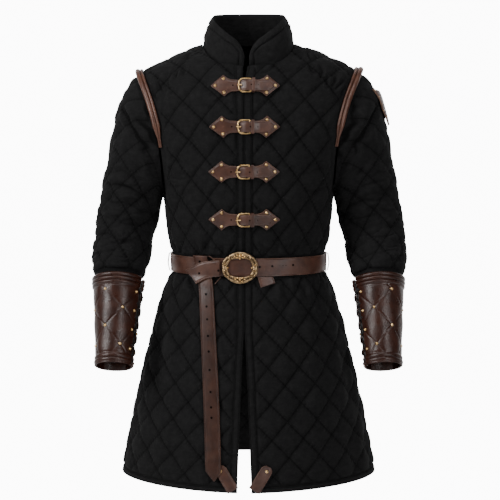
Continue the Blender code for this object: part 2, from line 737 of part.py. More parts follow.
def clearance(points, line, closed=True):
    start = line if closed else line[:-1]
    end = np.roll(line, -1, axis=0) if closed else line[1:]
    along = end - start
    here = points[:, None] - start
    part = np.clip((here * along).sum(axis=-1) / (along**2).sum(axis=-1), 0, 1)
    return np.linalg.norm(here - part[..., None] * along, axis=-1).min(axis=1)


def triangulate(outline, flat_lines, nodes, links):
    # Triangles over an outline, with the flat bands' lines and the channels as edges.
    points = [outline]
    edges = []
    taken = len(outline)
    for line in flat_lines:
        points.append(line)
        edges += [(taken + i, taken + i + 1) for i in range(len(line) - 1)]
        taken += len(line)
    margin = 0.0055
    keep = inside(nodes, outline) & (clearance(nodes, outline) > margin)
    for line in flat_lines:
        keep &= clearance(nodes, line, closed=False) > margin
    new_index = np.cumsum(keep) - 1 + taken
    points.append(nodes[keep])
    for a, b in links:
        if keep[a] and keep[b]:
            middle = (nodes[[a]] + nodes[[b]]) / 2
            near = [clearance(middle, line, closed=False)[0] for line in flat_lines] + [1.0]
            if inside(middle, outline)[0] and clearance(middle, outline)[0] > 0.004 and min(near) > 0.004:
                edges.append((int(new_index[a]), int(new_index[b])))
    points = np.concatenate(points)
    result = delaunay_2d_cdt([tuple(p) for p in points], edges,
                             [list(range(len(outline)))], 1, 1e-7)
    where = np.array([tuple(v) for v in result[0]])
    border = {}
    for index, sources in enumerate(result[3]):
        for source in sources:
            if source < len(outline):
                border[source] = index
    return where, result[2], [border[i] for i in range(len(outline))]


def panel(name, outline, flat_lines, lattice, coarse, place, rise, inner_lines=()):
    # A quilted wall: raised on its outer side over a plain inner side with wider triangles.
    ahead = np.roll(outline, -1, axis=0)
    if np.sum(outline[:, 0] * ahead[:, 1] - ahead[:, 0] * outline[:, 1]) < 0:
        outline = outline[::-1]
    where, faces, border = triangulate(outline, flat_lines, *lattice)
    outer = place(where[:, 0], where[:, 1], WALL + rise(where[:, 0], where[:, 1]))
    plain, plain_faces, plain_border = triangulate(outline, inner_lines, coarse, [])
    inner = place(plain[:, 0], plain[:, 1], 0.0)
    count = len(outer)
    triangles = [tuple(face) for face in faces]
    triangles += [tuple(count + i for i in reversed(face)) for face in plain_faces]
    total = len(outline)
    for i in range(total):
        j = (i + 1) % total
        a, b = border[i], border[j]
        triangles.append((a, count + plain_border[i], count + plain_border[j]))
        triangles.append((a, count + plain_border[j], b))
    solid(name, np.concatenate([outer, inner]), triangles, "quilted_cotton")


def lattice_nodes(columns, rows):
    # Nodes at crossings, channel middles and diamond middles, and the links in the channels.
    grid = [(i, j) for i in columns for j in rows if (i + j) % 2 == 0]
    index = {pair: k for k, pair in enumerate(grid)}
    links = []
    for (i, j), k in index.items():
        if (i - j) % 4 == 0 and (i + 1, j + 1) in index:
            links.append((k, index[(i + 1, j + 1)]))
        if (i + j) % 4 == 0 and (i + 1, j - 1) in index:
            links.append((k, index[(i + 1, j - 1)]))
    return np.array(grid, float), links


def evenly(start, end, spacing):
    return np.linspace(start, end, max(2, int(round(abs(end - start) / spacing)) + 1))


HEM_LINE = HEM + HEM_BAND + 0.0012
BELT_EDGE = BELT_HALF + 0.002
SIDE_ROWS = np.concatenate([
    [HEM],
    evenly(HEM_LINE, WAIST - BELT_EDGE, 0.020),
    evenly(WAIST - BELT_EDGE, WAIST + BELT_EDGE, 0.021)[1:],
    evenly(WAIST + BELT_EDGE, ARMPIT, 0.020)[1:],
])


def stack(across, up):
    return np.stack(np.broadcast_arrays(across, up), axis=-1)


def waist_lines(left, right, facing):
    lines = []
    for level in (WAIST - BELT_EDGE, WAIST + BELT_EDGE):
        up = np.array([level])
        start, end = float(left(up)[0]) + 0.004, float(right(up)[0]) - 0.004
        lines.append(stack(evenly(start, end, 0.016), level))
    return lines


def quilt_mask(across, up, facing):
    # The quilting lies flat under the belt and beside the armhole seam.
    belt = np.where(np.abs(up - WAIST) < BELT_HALF + 0.0025, 0.0, 1.0)
    seam = np.stack(armhole(np.linspace(0, math.pi, 41), facing), axis=-1)
    off = clearance(np.stack([np.abs(across), up], axis=-1), seam, closed=False)
    return belt * np.clip((off - 0.017) / 0.010, 0, 1)


def body_lattice(facing, origin, start, side, quarters):
    # start is the first crossing's distance from the origin, in half diamonds.
    rows = range(-44, 24)
    grid, links = lattice_nodes(quarters, rows)
    up = quilt_up(grid[:, 1] / 4)
    width = body_column("quilt_width", np.minimum(up, CHEST))
    across = origin(up) + side * (grid[:, 0] / 4 + start / 2) * width
    nodes = stack(across, up)
    crossings = ((grid[:, 0] + grid[:, 1]) % 4 == 0) & (grid[:, 0] % 2 == 0)
    return (nodes, links), nodes[crossings]


def body_rise(facing, origin, start, side, flat):
    def rise(across, up):
        width = body_column("quilt_width", np.minimum(up, CHEST))
        column = side * (across - origin(up)) / width - start / 2
        puff = QUILT_RISE * pillow(column, quilt_row(up))
        return puff * quilt_mask(across, up, facing) * flat(across, up)
    return rise


def make_front(side, name):
    def edge(up):
        return front_edge(up, side)

    def middle(up):
        return front_edge(np.minimum(up, NECK_SLIT_FROM), side)

    def seam(up):
        return side * (side_length(up, -1) - SEAM)

    centre_up = evenly(HEM, neckline(np.array([0.0]), -1)[1][0] - 0.0004, 0.0195)
    centre = stack(edge(centre_up), centre_up)
    start_turn = math.asin(abs(CENTRE + side * 0.012) / NECK_SIDE_X) * np.sign(CENTRE * side + 0.012)
    neck_across, neck_up = neckline(np.linspace(start_turn, math.pi / 2, 9), -1)
    neck = stack(side * neck_across, neck_up)
    arm_across, arm_up = armhole(np.linspace(0, math.pi, 19), -1)
    shoulder_x = np.linspace(abs(neck[-1, 0]), arm_across[0], 9)[1:-1]
    shoulder = stack(side * shoulder_x, shoulder_up(shoulder_x, -1) - SEAM)
    neck[-1, 1] -= SEAM
    arm = stack(side * arm_across, arm_up)
    arm[0, 1] -= SEAM
    arm[-1, 0] -= side * SEAM
    down = SIDE_ROWS[::-1][1:]
    flank = stack(seam(down), down)
    hem_start, hem_end = flank[-1, 0], centre[0, 0]
    hem = stack(hem_places(hem_start, hem_end)[1:-1], HEM)
    outline = np.concatenate([centre, neck, shoulder, arm, flank, hem])

    placket_up = evenly(HEM + HEM_BAND + 0.002, centre_up[-1] - 0.006, 0.0195)
    placket = stack(edge(placket_up) + side * (PLACKET + 0.0012), placket_up)
    above = side * hem_above(hem_places(hem_start, hem_end), -1)
    spare = (above > side * placket[0, 0] + 0.008) & (above < side * seam(np.array([HEM]))[0] - 0.008)
    hem_line = stack(side * above[spare], HEM_LINE)
    placket[0] = (placket[0, 0], HEM_LINE)

    def flat(across, up):
        clear = (side * (across - edge(up)) > PLACKET + 0.0015) & (up > HEM + HEM_BAND + 0.0015)
        return np.where(clear, 1.0, 0.0)

    lines = waist_lines(lambda up: np.minimum(edge(up) + side * (PLACKET + 0.012), seam(up)),
                        lambda up: np.maximum(edge(up) + side * (PLACKET + 0.012), seam(up)), -1)
    lattice, coarse = body_lattice(-1, middle, FRONT_QUILT_START, side, range(0, 34))
    rise = body_rise(-1, middle, FRONT_QUILT_START, side, flat)
    panel(name, outline, [placket, hem_line] + lines, lattice, coarse, FRONT, rise)


def make_back():
    def zero(up):
        return np.zeros(len(up))

    neck_turn = np.linspace(-math.pi / 2, math.pi / 2, 15)
    neck_across, neck_up = neckline(neck_turn, 1)
    neck_across[[0, -1]] = neckline(np.array([-math.pi / 2, math.pi / 2]), 1)[0]
    neck = stack(neck_across, neck_up)
    neck[[0, -1], 1] -= SEAM
    arm_across, arm_up = armhole(np.linspace(0, math.pi, 19), 1)
    shoulder_x = np.linspace(neck[-1, 0], arm_across[0], 9)[1:-1]
    shoulder = stack(shoulder_x, shoulder_up(shoulder_x, 1) - SEAM)
    arm = stack(arm_across, arm_up)
    arm[0, 1] -= SEAM
    arm[-1, 0] -= SEAM
    down = SIDE_ROWS[::-1][1:]
    flank = stack(side_length(down, 1) - SEAM, down)
    half = np.concatenate([shoulder, arm, flank])
    mirrored = half[::-1] * (-1, 1)
    hem = stack(hem_places(flank[-1, 0], -flank[-1, 0])[1:-1], HEM)
    outline = np.concatenate([neck, half, hem, mirrored])
    hem_line = stack(hem_above(hem_places(flank[-1, 0], -flank[-1, 0])[1:-1], 1), HEM_LINE)
    lines = waist_lines(lambda up: -side_length(up, 1), lambda up: side_length(up, 1), 1)
    lattice, coarse = body_lattice(1, zero, 0, 1, range(-32, 33))

    def flat(across, up):
        return np.where(up > HEM + HEM_BAND + 0.0015, 1.0, 0.0)

    panel("back", outline, [hem_line] + lines, lattice, coarse, BACK, body_rise(1, zero, 0, 1, flat))


CAP_GAP = 0.0034          # from the armhole seam to the sleeve's edge, under the piping
UNDERARM_GAP = 0.0050     # and so much more at the underarm
SLEEVE_END = -0.012       # the sleeve's own end, just inside the cuff
LINING_END = -0.163       # the end of the cuff's lining, which goes on from the sleeve
LINING_GAP = 0.0006
SLEEVE_REACH = 0.380      # pattern width of a sleeve, to space its triangles


def make_sleeve(side, name):
    # The pattern's across is the turn times a reach, so that its triangles are even.
    scale = SLEEVE_REACH / (2 * math.pi)
    place_turn = on_sleeve(side)

    def place(across, high, lift):
        return place_turn(across / scale, high, lift)

    seam_turn = math.pi - SEAM / 0.05
    turns = np.linspace(-seam_turn, seam_turn, 25)
    cap = stack(turns * scale, sleeve_cap(turns) - CAP_GAP - UNDERARM_GAP * (1 - np.cos(turns)) / 2)
    low = stack(turns[::-1] * scale, SLEEVE_END)
    up_seam = evenly(SLEEVE_END, cap[0, 1], 0.019)[1:-1]
    down_seam = up_seam[::-1]
    outline = np.concatenate([low[::-1], stack(seam_turn * scale, up_seam), cap[::-1],
                              stack(-seam_turn * scale, down_seam)])
    cuff_line = stack(np.linspace(-seam_turn + 0.08, seam_turn - 0.08, 24) * scale, 0.004)
    grid, links = lattice_nodes(range(-12, 13), range(-12, 26))
    width = SLEEVE_REACH / SLEEVE_DIAMONDS
    nodes = stack(grid[:, 0] / 4 * width, (grid[:, 1] / 4 + 0.25) * SLEEVE_QUILT_HEIGHT)
    below = (nodes[:, 1] < 0) & ((grid[:, 0] % 2 == 1) | (grid[:, 1] % 2 == 1))
    nodes[below] = (9.0, 9.0)

    def rise(across, high):
        puff = QUILT_RISE * pillow(across / width, high / SLEEVE_QUILT_HEIGHT - 0.25)
        seam = sleeve_cap(across / scale)
        return puff * np.clip((high - 0.006) / 0.010, 0, 1) * np.clip((seam - high - 0.008) / 0.012, 0, 1)

    panel(name, outline, [cuff_line], (nodes, links), nodes, place, rise, [cuff_line])


def make_lining(side, name):
    # A plain tube that goes on from the sleeve's end, down the inside of the cuff.
    turns = np.linspace(-math.pi, math.pi, 25)[:-1]
    turn, high = np.meshgrid(turns, evenly(LINING_END, SLEEVE_END - LINING_GAP, 0.050), indexing="ij")
    place = on_sleeve(side)
    slab("cuff_lining_" + name, place(turn, high, 0.0), place(turn, high, WALL), "quilted_cotton",
         closed=True)


# ---------------------------------------------------------------- bands, collar and piping

def make_placket(side, name):
    top = neckline(np.array([0.0]), -1)[1][0] - 0.0022
    up = evenly(HEM + 0.0003, top, 0.0195)
    edge = front_edge(up, side)
    strip(name, FRONT, (edge, up), (edge + side * PLACKET, up), WALL + BAND_LIFT, BAND_THICK,
          "quilted_cotton")


def hem_places(start, end):
    # Where a panel's hem has its points.
    return evenly(start, end, 0.0165)


def make_hem_bands():
    levels = np.array([HEM + 0.0003, HEM + HEM_BAND])
    for side, name in ((1, "hem_band_left"), (-1, "hem_band_right")):
        reach = side_length(levels, -1)[0] - SEAM
        places = hem_places(side * reach, float(front_edge(np.array([HEM]), side)[0]))
        start = float(front_edge(levels[:1], side)[0]) + side * (PLACKET + 0.0006)
        places = places[side * (places - start) > 0.004]
        places = np.concatenate([[side * (reach - 0.0004)], places[1:], [start]])
        hem_band(name, FRONT, -1, places, levels)
    reach = side_length(levels, 1)[0] - SEAM
    places = hem_places(-reach, reach)
    places[[0, -1]] *= 1 - 0.0004 / reach
    hem_band("hem_band_back", BACK, 1, places, levels)


def hem_above(places, facing):
    # The same places along the line where the hem band ends.
    reach = side_length(np.array([HEM, HEM_LINE]), facing)
    return places * reach[1] / reach[0]


def hem_band(name, place, facing, places, levels):
    reach = side_length(levels, facing)
    upper = places * reach[1] / reach[0]
    strip(name, place, (places, np.full(len(places), levels[0])), (upper, np.full(len(places), levels[1])),
          WALL + BAND_LIFT, BAND_THICK, "quilted_cotton")


def collar_half(side, start):
    # The outer and inner points of one half, from its front end to the middle of the back.
    part = np.array([0, 0.018, 0.06, 0.13, 0.22, 0.33, 0.45, 0.58, 0.72, 0.86, 1])
    ahead = np.radians(start + (90 - start) * part)
    behind = math.pi - np.radians(90 - 90 * part[:0:-1][1:])[::-1]
    turns = np.concatenate([ahead, np.sort(behind)[1:], [math.pi]])
    places = []
    for turn in turns:
        facing = -1 if turn <= math.pi / 2 + 1e-6 else 1
        fold = turn if facing < 0 else math.pi - turn
        across, up = neckline(np.array([fold]), facing)
        places.append((across[0], up[0], facing))
    base = np.array([(FRONT if f < 0 else BACK)(a, u, WALL) for a, u, f in places])
    base[:, 2] += 0.0006
    inward = unit(np.c_[-base[:, 0], -base[:, 1] * 1.2, np.zeros(len(base))])
    base += inward * 0.0009
    degrees = np.degrees(turns)
    top = np.empty_like(base)
    top[:, 0] = base[:, 0] * smooth(degrees, COLLAR_TOP["turn"], COLLAR_TOP["half_width_part"])
    top[:, 1] = base[:, 1] * smooth(degrees, COLLAR_TOP["turn"], COLLAR_TOP["front_part"])
    top[:, 2] = smooth(degrees - degrees[0], COLLAR_TOP["turn"], COLLAR_TOP["height"])
    rise = COLLAR_RISE["part"][None, :, None]
    middle = base[:, None] * (1 - rise) + top[:, None] * rise
    middle -= inward[:, None] * COLLAR_BULGE * np.sin(math.pi * rise)
    outer = middle + inward[:, None] * COLLAR_RISE["outer"][None, :, None]
    inner = middle + inward[:, None] * (COLLAR_THICK * COLLAR_RISE["inner"])[None, :, None]
    mirror = np.array([side, 1, 1])
    return inner * mirror, outer * mirror


def make_collar():
    # One padded band from the right front corner round the back to the left front corner.
    right, left = (collar_half(side, start) for side, start in zip((-1, 1), COLLAR_STARTS))
    both = [np.concatenate([a, b[:-1][::-1]]) for a, b in zip(right, left)]
    slab("collar", both[0], both[1], "quilted_cotton")


def seam_frame(turn, side):
    # A point of the armhole seam's outer edge, the cloth's normal there and the way to the sleeve.
    facing = np.where(turn > 0, -1, 1)
    points, normals = [], []
    for value, face in zip(turn, facing):
        across, up = armhole(np.array([abs(value)]), face)
        surface = on_body(face)
        low, high = surface(across, up, 0.0)[0], surface(across, up, 0.001)[0]
        points.append(low)
        normals.append((high - low) * 1000)
    points, normals = np.array(points), np.array(normals)
    ways = unit(np.cross(normals, np.gradient(points, axis=0)))
    outward = np.sign((ways * [1, 0, 0]).sum(axis=1).mean())
    ways = ways * outward
    mirror = np.array([side, 1, 1])
    return points * mirror, normals * mirror, ways * mirror


def make_piping(side, name):
    # The roll fills the crease between the panel and the sleeve. The bead lies beside it.
    turn = np.linspace(-PIPING_END, PIPING_END, PIPING_STEPS)
    points, normals, ways = seam_frame(turn, side)
    sleeve, high = on_sleeve(side), sleeve_cap(turn) - 0.006
    sleeve_normals = unit(sleeve(turn, high, 0.001) - sleeve(turn, high, 0.0))
    middle = unit(normals + sleeve_normals)
    lean = (middle * normals).sum(axis=1)
    taper = np.clip(np.cos(turn / PIPING_END * math.pi / 2) * 3.4, 0.45, 1.0)
    roll, bead = ROLL_RADIUS * taper, BEAD_RADIUS * taper
    away = (WALL + 3 * GAP + roll) / lean
    centre = points + middle * away[:, None]
    tube("piping_roll_" + name, centre, ROLL_RADIUS, "leather", radii=taper)
    roll_high = away * lean
    roll_side = ((centre - points) * ways).sum(axis=1)
    bead_high = WALL + 5 * GAP + bead
    apart = np.sqrt((roll + bead + GAP) ** 2 - (roll_high - bead_high) ** 2)
    beside = points + normals * bead_high[:, None] + ways * (roll_side - apart)[:, None]
    tube("piping_bead_" + name, beside, BEAD_RADIUS, "leather", radii=taper)


# ---------------------------------------------------------------- closures

def lay(rows, name, height, centre, rest, size):
    across = centre + rows["across"] * size
    low = (across, height - rows["half_height"])
    high = (across, height + rows["half_height"])
    strip(name, FRONT, low, high, rest + rows["lift"], LEATHER, "leather", steps=2)


def make_buckle(name, height, centre, rest, size):
    arc = np.linspace(-0.5, 0.5, 9) * math.pi
    bar = 0.0095
    shoulder = -0.0060
    across = np.concatenate([[bar], shoulder - 0.0105 * np.cos(arc), [bar]]) * size
    up = np.concatenate([[-BUCKLE_HALF], BUCKLE_HALF * np.sin(arc), [BUCKLE_HALF]])
    round_up = np.sign(up) * BUCKLE_HALF * np.abs(up / BUCKLE_HALF) ** 0.8
    points = FRONT(centre + across, height + round_up, rest + BUCKLE_LIFT)
    tube(name, points, BUCKLE_WIRE, "brass", cyclic=True)


def make_keeper(name, height, centre, rest, size):
    # A bridge over the strap, with its feet on the cloth beside the chape.
    inner_half = 0.0122
    outer_half = inner_half + KEEPER_THICK
    under = 0.0062 + LEATHER + 2 * GAP
    path = np.array([(-inner_half, 0.0), (-inner_half, under), (inner_half, under), (inner_half, 0.0)])
    out = np.array([(-outer_half, 0.0), (-outer_half, under + KEEPER_THICK),
                    (outer_half, under + KEEPER_THICK), (outer_half, 0.0)])
    grids = []
    for shape in (path, out):
        across = centre + size * np.array([KEEPER_FROM, KEEPER_TO])[None, :]
        up = height + shape[:, :1]
        grids.append(FRONT(*np.broadcast_arrays(across, up, rest + shape[:, 1:])))
    slab(name, grids[0], grids[1], "leather")


def make_prong(name, height, centre, rest, size):
    across = np.array([-0.0065, -0.0110, -0.0165, -0.0188]) * size
    lift = np.array([0.0064, 0.0070, 0.0080, 0.0077])
    points = FRONT(centre + across, np.full(4, height), rest + lift)
    tube(name, points, 0.0011, "brass")


def make_closures():
    rows = zip(CLOSURES["height"], CENTRE + CLOSURES["across"], ON_CLOTH - CLOSURES["sink"],
               CLOSURES["size"])
    for index, (height, centre, rest, size) in enumerate(rows, start=1):
        up = float(body_place(np.array([centre]), np.array([height]), -1)[1][0])
        lay(STRAP, "strap_%d" % index, up, centre, rest, size)
        lay(CHAPE, "chape_%d" % index, up, centre, rest, size)
        make_buckle("buckle_%d" % index, up, centre, rest, size)
        make_keeper("keeper_%d" % index, up, centre, rest, size)
        make_prong("prong_%d" % index, up, centre, rest, size)


# ---------------------------------------------------------------- belt

def belt_places(count, level, facing):
    reach = side_length(np.array([level]), facing)[0]
    return np.linspace(-1, 1, count) * reach


def make_belt():
    levels = WAIST + np.array([-BELT_HALF, BELT_HALF])
    grids = []
    for lift in (ON_WAIST, ON_WAIST + BELT_THICK):
        front = np.stack([FRONT(belt_places(41, z, -1)[:-1], np.full(40, z), lift) for z in levels], axis=1)
        back = np.stack([BACK(belt_places(31, z, 1)[::-1][:-1], np.full(30, z), lift) for z in levels],
                        axis=1)
        grids.append(np.concatenate([front, back]))
    slab("belt", grids[0], grids[1], "leather", closed=True)


def make_ring():
    # A flat oval ring with a rounded section, bent to the waist.
    turn = np.linspace(0, 2 * math.pi, 33)[:-1]
    profile = np.array([(0, 0), (0.0006, 0.6), (0.25, 1.0), (0.75, 1.0), (0.9994, 0.6), (1, 0)])
    rows = []
    for inset, lift in profile:
        half_width = RING_HALF_WIDTH - inset * RING_BAND
        half_height = RING_HALF_HEIGHT - inset * RING_BAND_UP
        across = CENTRE + RING_CENTRE + half_width * np.cos(turn)
        up = WAIST + half_height * np.sin(turn)
        rows.append(FRONT(across, up, ON_BELT + lift * RING_THICK))
    sweep("belt_ring", np.stack(rows, axis=1), "brass", closed=True)


def make_belt_pieces():
    half = TAIL["half_width"]
    middle = CENTRE + TAIL["across"]
    strip("belt_tail", FRONT, (middle - half, TAIL["height"]), (middle + half, TAIL["height"]),
          TAIL["lift"], BELT_THICK, "leather", steps=2)
    across = CENTRE + BAND["across"]
    strip("belt_band", FRONT, (across, BAND["bottom"]), (across, BAND["top"]),
          ON_BELT + BELT_THICK + 3 * GAP, BELT_THICK, "leather", steps=3)
    up, lift = WAIST + BELT_LOOP["height"], BELT_LOOP["lift"]
    reach = side_length(up, -1)
    for side, name in ((1, "belt_loop_left"), (-1, "belt_loop_right")):
        inner = (side * (reach - LOOP_INSET - LOOP_WIDTH), up)
        outer = (side * (reach - LOOP_INSET), up)
        strip(name, FRONT, inner, outer, lift, LOOP_THICK, "leather")


def lay_tab(name, rows, side, shift):
    middle = np.stack([rows["across"], rows["height"]], axis=-1)
    way = unit(np.gradient(middle, axis=0))
    left = middle + np.c_[-way[:, 1], way[:, 0]] * rows["half_width"][:, None]
    right = middle - np.c_[-way[:, 1], way[:, 0]] * rows["half_width"][:, None]
    columns = [(CENTRE + shift + side * edge[:, 0], edge[:, 1]) for edge in (left, right)]
    strip(name, FRONT, columns[0], columns[1], rows["lift"], LEATHER, "leather", steps=2)


def make_shield():
    turn = SHIELD["half_width"] / 0.075
    low = (SHIELD_TURN - turn, SHIELD["high"])
    high = (SHIELD_TURN + turn, SHIELD["high"])
    strip("arm_shield", on_sleeve(1), low, high, ON_CLOTH, 0.0022, "leather", steps=3)


# ---------------------------------------------------------------- cuffs

def cuff_frame(side):
    top, end = np.array(CUFF_AXIS_TOP), np.array(CUFF_AXIS_END)
    axis = unit(top - end)
    out = unit(np.array([1.0, 0, 0]) - axis * axis[0])
    fore = np.cross(axis, out)
    if fore[1] > 0:
        fore = -fore
    mirror = np.array([side, 1, 1])
    return end * mirror, axis * mirror, out * mirror, fore * mirror


def cuff_point(side, turn, along, lift):
    origin, axis, out, fore = cuff_frame(side)
    width = np.interp(along, CUFF["along"], CUFF["half_width"]) + lift
    depth = np.interp(along, CUFF["along"], CUFF["half_depth"]) + lift
    return (origin + along[..., None] * axis + (width * np.cos(turn))[..., None] * out
            + (depth * np.sin(turn))[..., None] * fore)


def make_cuff(side, name):
    # The outer profile with its rolls, closed by a plain inner line, carried round the forearm.
    gap = CUFF_GAP_HALF / 0.044
    turns = np.linspace(CUFF_GAP_TURN + gap, CUFF_GAP_TURN + 2 * math.pi - gap, 21)
    along, turn = np.meshgrid(CUFF["along"], turns)
    outer = cuff_point(side, turn, along, 0.0)
    ends = np.array([CUFF["along"][-1], CUFF["along"][0]])
    along, turn = np.meshgrid(ends, turns)
    plain = np.broadcast_to(CUFF_INNER[::-1], along.shape)
    origin, axis, out, fore = cuff_frame(side)
    inner = (origin + along[..., None] * axis + (plain * np.cos(turn))[..., None] * out
             + (plain * np.sin(turn))[..., None] * fore)
    sections = np.concatenate([outer, inner], axis=1)
    sweep("cuff_" + name, sections, "cuff_leather")


def make_lace(side, name):
    # A lace that crosses the cuff's opening from row to row.
    gap = (CUFF_GAP_HALF + 0.0052) / 0.044
    high = np.linspace(0.026, 0.158, LACE_ROWS * 2)
    turn = CUFF_GAP_TURN + gap * np.where(np.arange(LACE_ROWS * 2) % 2 == 0, 1, -1)
    knots = np.arange(len(high), dtype=float)
    at = np.linspace(0, len(high) - 1, 2 * (len(high) - 1) + 1)
    points = cuff_point(side, np.interp(at, knots, turn), np.interp(at, knots, high),
                        np.full(len(at), LACE_RADIUS + 0.0006))
    tube("lace_" + name, points, LACE_RADIUS, "lace")


# ---------------------------------------------------------------- the whole

def main():
    for item in list(bpy.data.objects):
        bpy.data.objects.remove(item, do_unlink=True)
    bpy.context.scene.collection.children.link(bpy.data.collections.new(COLLECTION))
    for side, name in ((-1, "right"), (1, "left")):
        make_front(side, "front_" + name)
        make_sleeve(side, "sleeve_" + name)
        make_lining(side, name)
        make_placket(side, "placket_" + name)
        make_piping(side, name)
        make_cuff(side, name)
        make_lace(side, name)
    make_back()
    make_hem_bands()
    make_collar()
    make_closures()
    make_belt()
    make_ring()
    make_belt_pieces()
    strip("belt_tab", FRONT, (CENTRE + BELT_TAB["left"], BELT_TAB["left_height"]),
          (CENTRE + BELT_TAB["right"], BELT_TAB["right_height"]), ON_CLOTH, LEATHER, "leather", steps=2)
    for side, shift in zip(HEM_TABS["side"], HEM_TABS["shift"]):
        lay_tab("hem_tab_left" if side > 0 else "hem_tab_right", HEM_TAB, side, shift)
    make_shield()


main()
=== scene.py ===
# The looks of a quilted arming coat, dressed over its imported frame.
# Metres, +Z up. The front faces -Y and the wearer's left is +X.

import functools
import math

import bpy
import numpy as np
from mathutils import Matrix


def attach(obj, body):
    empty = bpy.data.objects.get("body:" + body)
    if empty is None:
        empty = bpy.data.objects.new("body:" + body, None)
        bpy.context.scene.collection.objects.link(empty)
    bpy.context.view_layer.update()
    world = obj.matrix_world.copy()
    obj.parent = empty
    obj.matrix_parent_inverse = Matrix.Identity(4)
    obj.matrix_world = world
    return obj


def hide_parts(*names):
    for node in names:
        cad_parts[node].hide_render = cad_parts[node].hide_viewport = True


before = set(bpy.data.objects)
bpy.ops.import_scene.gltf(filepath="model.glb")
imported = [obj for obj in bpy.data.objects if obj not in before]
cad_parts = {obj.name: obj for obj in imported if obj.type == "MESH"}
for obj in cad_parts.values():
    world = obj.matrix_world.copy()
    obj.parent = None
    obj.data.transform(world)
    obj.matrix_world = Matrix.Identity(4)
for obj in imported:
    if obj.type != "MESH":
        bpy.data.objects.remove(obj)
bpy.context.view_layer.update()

# What all the pieces share
cloth = {
    "wall": 0.003,           # the cloth at a quilting channel
    "quiltRise": 0.0046,      # a diamond's middle above its channels
    "bandThick": 0.0018,
    "bandLift": 0.001,
    "collarThick": 0.009,
    "collarBulge": 0.0035,
    "seam": 0.00025, "sewn": 0.00002,
}
leather = {"strap": 0.0026, "belt": 0.0032, "gap": 0.0003}
cadRise = 0.0040              # the frame's own quilting
onCloth = cloth["wall"] + cadRise + leather["gap"]
onStrap = onCloth + leather["strap"] + leather["gap"]
onWaist = cloth["wall"] + cloth["bandLift"] + cloth["bandThick"] + 2 * leather["gap"]
onBelt = onWaist + leather["belt"] + 2 * leather["gap"]

levels = {
    "hem": -0.9015, "chest": -0.2, "armpit": -0.292, "waist": -0.4537,
    "slitTop": -0.585, "neckFront": -0.0495, "neckBack": -0.004,
}
closureX = -0.0085            # where the two fronts meet
neckSideX = 0.094
slitHalf = 0.014              # each front edge's drift from the closure at the hem
neckSlitFrom, neckSlit = -0.1, 0.0075   # the left front edge turns aside below the neck
placketWidth = 0.014
hemBand = 0.012
hemShift = {1: 0.0, -1: -0.0020}          # where each hem tab sits beside its usual place
beltHalf = 0.019
overPower = 2.2               # roundness of the curve from the chest over the shoulder
rightDrop = 0.0045            # the wearer's right shoulder sits lower
leftOut = 0.0055              # the left sleeve stands out further

quilting = {
    "height": 0.0795, "skirtHeight": 0.0715, "rowAt": -0.1545, "skirtFrom": -0.513,
    "frontStart": 0.33, "sleeveDiamonds": 6, "sleeveHeight": 0.076,
}
sideNames = ((-1, "right"), (1, "left"))
mirror = {side: np.array([side, 1, 1]) for side in (-1, 1)}


def table(names, rows, parts=None):
    # Rows of numbers as named columns. parts says how many of each column's units make a whole.
    columns = list(zip(*rows))
    return {name: np.array(column, float) / part
            for name, column, part in zip(names.split(), columns, parts or [1] * len(columns))}


# The body's inner surface, level by level. squareness 2 is an ellipse.
bodyTable = table("height halfWidth front back squareness quiltWidth", (
    (-9300, 2680, 1925, 1820, 176, 69), (-9050, 2640, 1900, 1795, 176, 68),
    (-8200, 2480, 1780, 1690, 180, 67), (-7500, 2335, 1670, 1590, 186, 66),
    (-6800, 2175, 1550, 1490, 192, 65), (-6130, 2010, 1430, 1390, 200, 63),
    (-5600, 1870, 1330, 1310, 205, 62), (-5250, 1765, 1255, 1250, 210, 61),
    (-4940, 1645, 1170, 1180, 210, 59), (-4760, 1550, 1120, 1125, 210, 57),
    (-4537, 1542, 1115, 1120, 210, 56), (-4310, 1550, 1122, 1127, 210, 56),
    (-4100, 1600, 1180, 1165, 215, 57), (-3600, 1670, 1260, 1215, 225, 60),
    (-3250, 1700, 1300, 1245, 235, 62), (-2920, 1735, 1320, 1270, 245, 64),
    (-2500, 1875, 1335, 1285, 250, 65), (-2150, 2030, 1335, 1290, 250, 66),
    (-1760, 2185, 1330, 1290, 250, 66), (-1400, 2290, 1330, 1290, 250, 66),
    (-1000, 2350, 1330, 1290, 250, 66), (-600, 2440, 1330, 1290, 250, 66),
    (400, 2500, 1330, 1290, 250, 66),
), (10000, 10000, 10000, 10000, 100, 1000))

# The shoulder seam's height by how far out it is, as a part of the half width
shoulderTable = table("part height", (
    (0, 300), (200, 170), (384, -85), (495, -145), (641, -300), (792, -466), (945, -633), (1000, -700),
), (1000, 10000))

# The sleeve's inner surface, ring by ring from the shoulder down
sleeveTable = table("ring innerX innerZ outerX outerZ centreY halfDepth pitch", (
    (1, 1820, -2985, 2545, -990, 0, 860, 0), (2, 1870, -3080, 2680, -1360, 20, 810, 0),
    (3, 1890, -3195, 2790, -1800, 40, 750, 2), (4, 1912, -3340, 2875, -2300, 70, 690, 3),
    (5, 1950, -3520, 2985, -2830, 90, 640, 4), (6, 2000, -3740, 3085, -3350, 90, 600, 6),
    (7, 2065, -4000, 3155, -3850, 20, 570, 12), (8, 2120, -4360, 3195, -4280, -130, 540, 18),
    (9, 2185, -4700, 3205, -4670, -300, 510, 23), (10, 2269, -4870, 3131, -4850, -385, 430, 25),
    (11, 2341, -5670, 3101, -5654, -756, 378, 25), (12, 2410, -6396, 3070, -6382, -1091, 328, 25),
), (1, 10000, 10000, 10000, 10000, 10000, 10000, 1))
cuffTopRing = 10.0
armholeTopPart = 0.918
armholeInset = 0.016


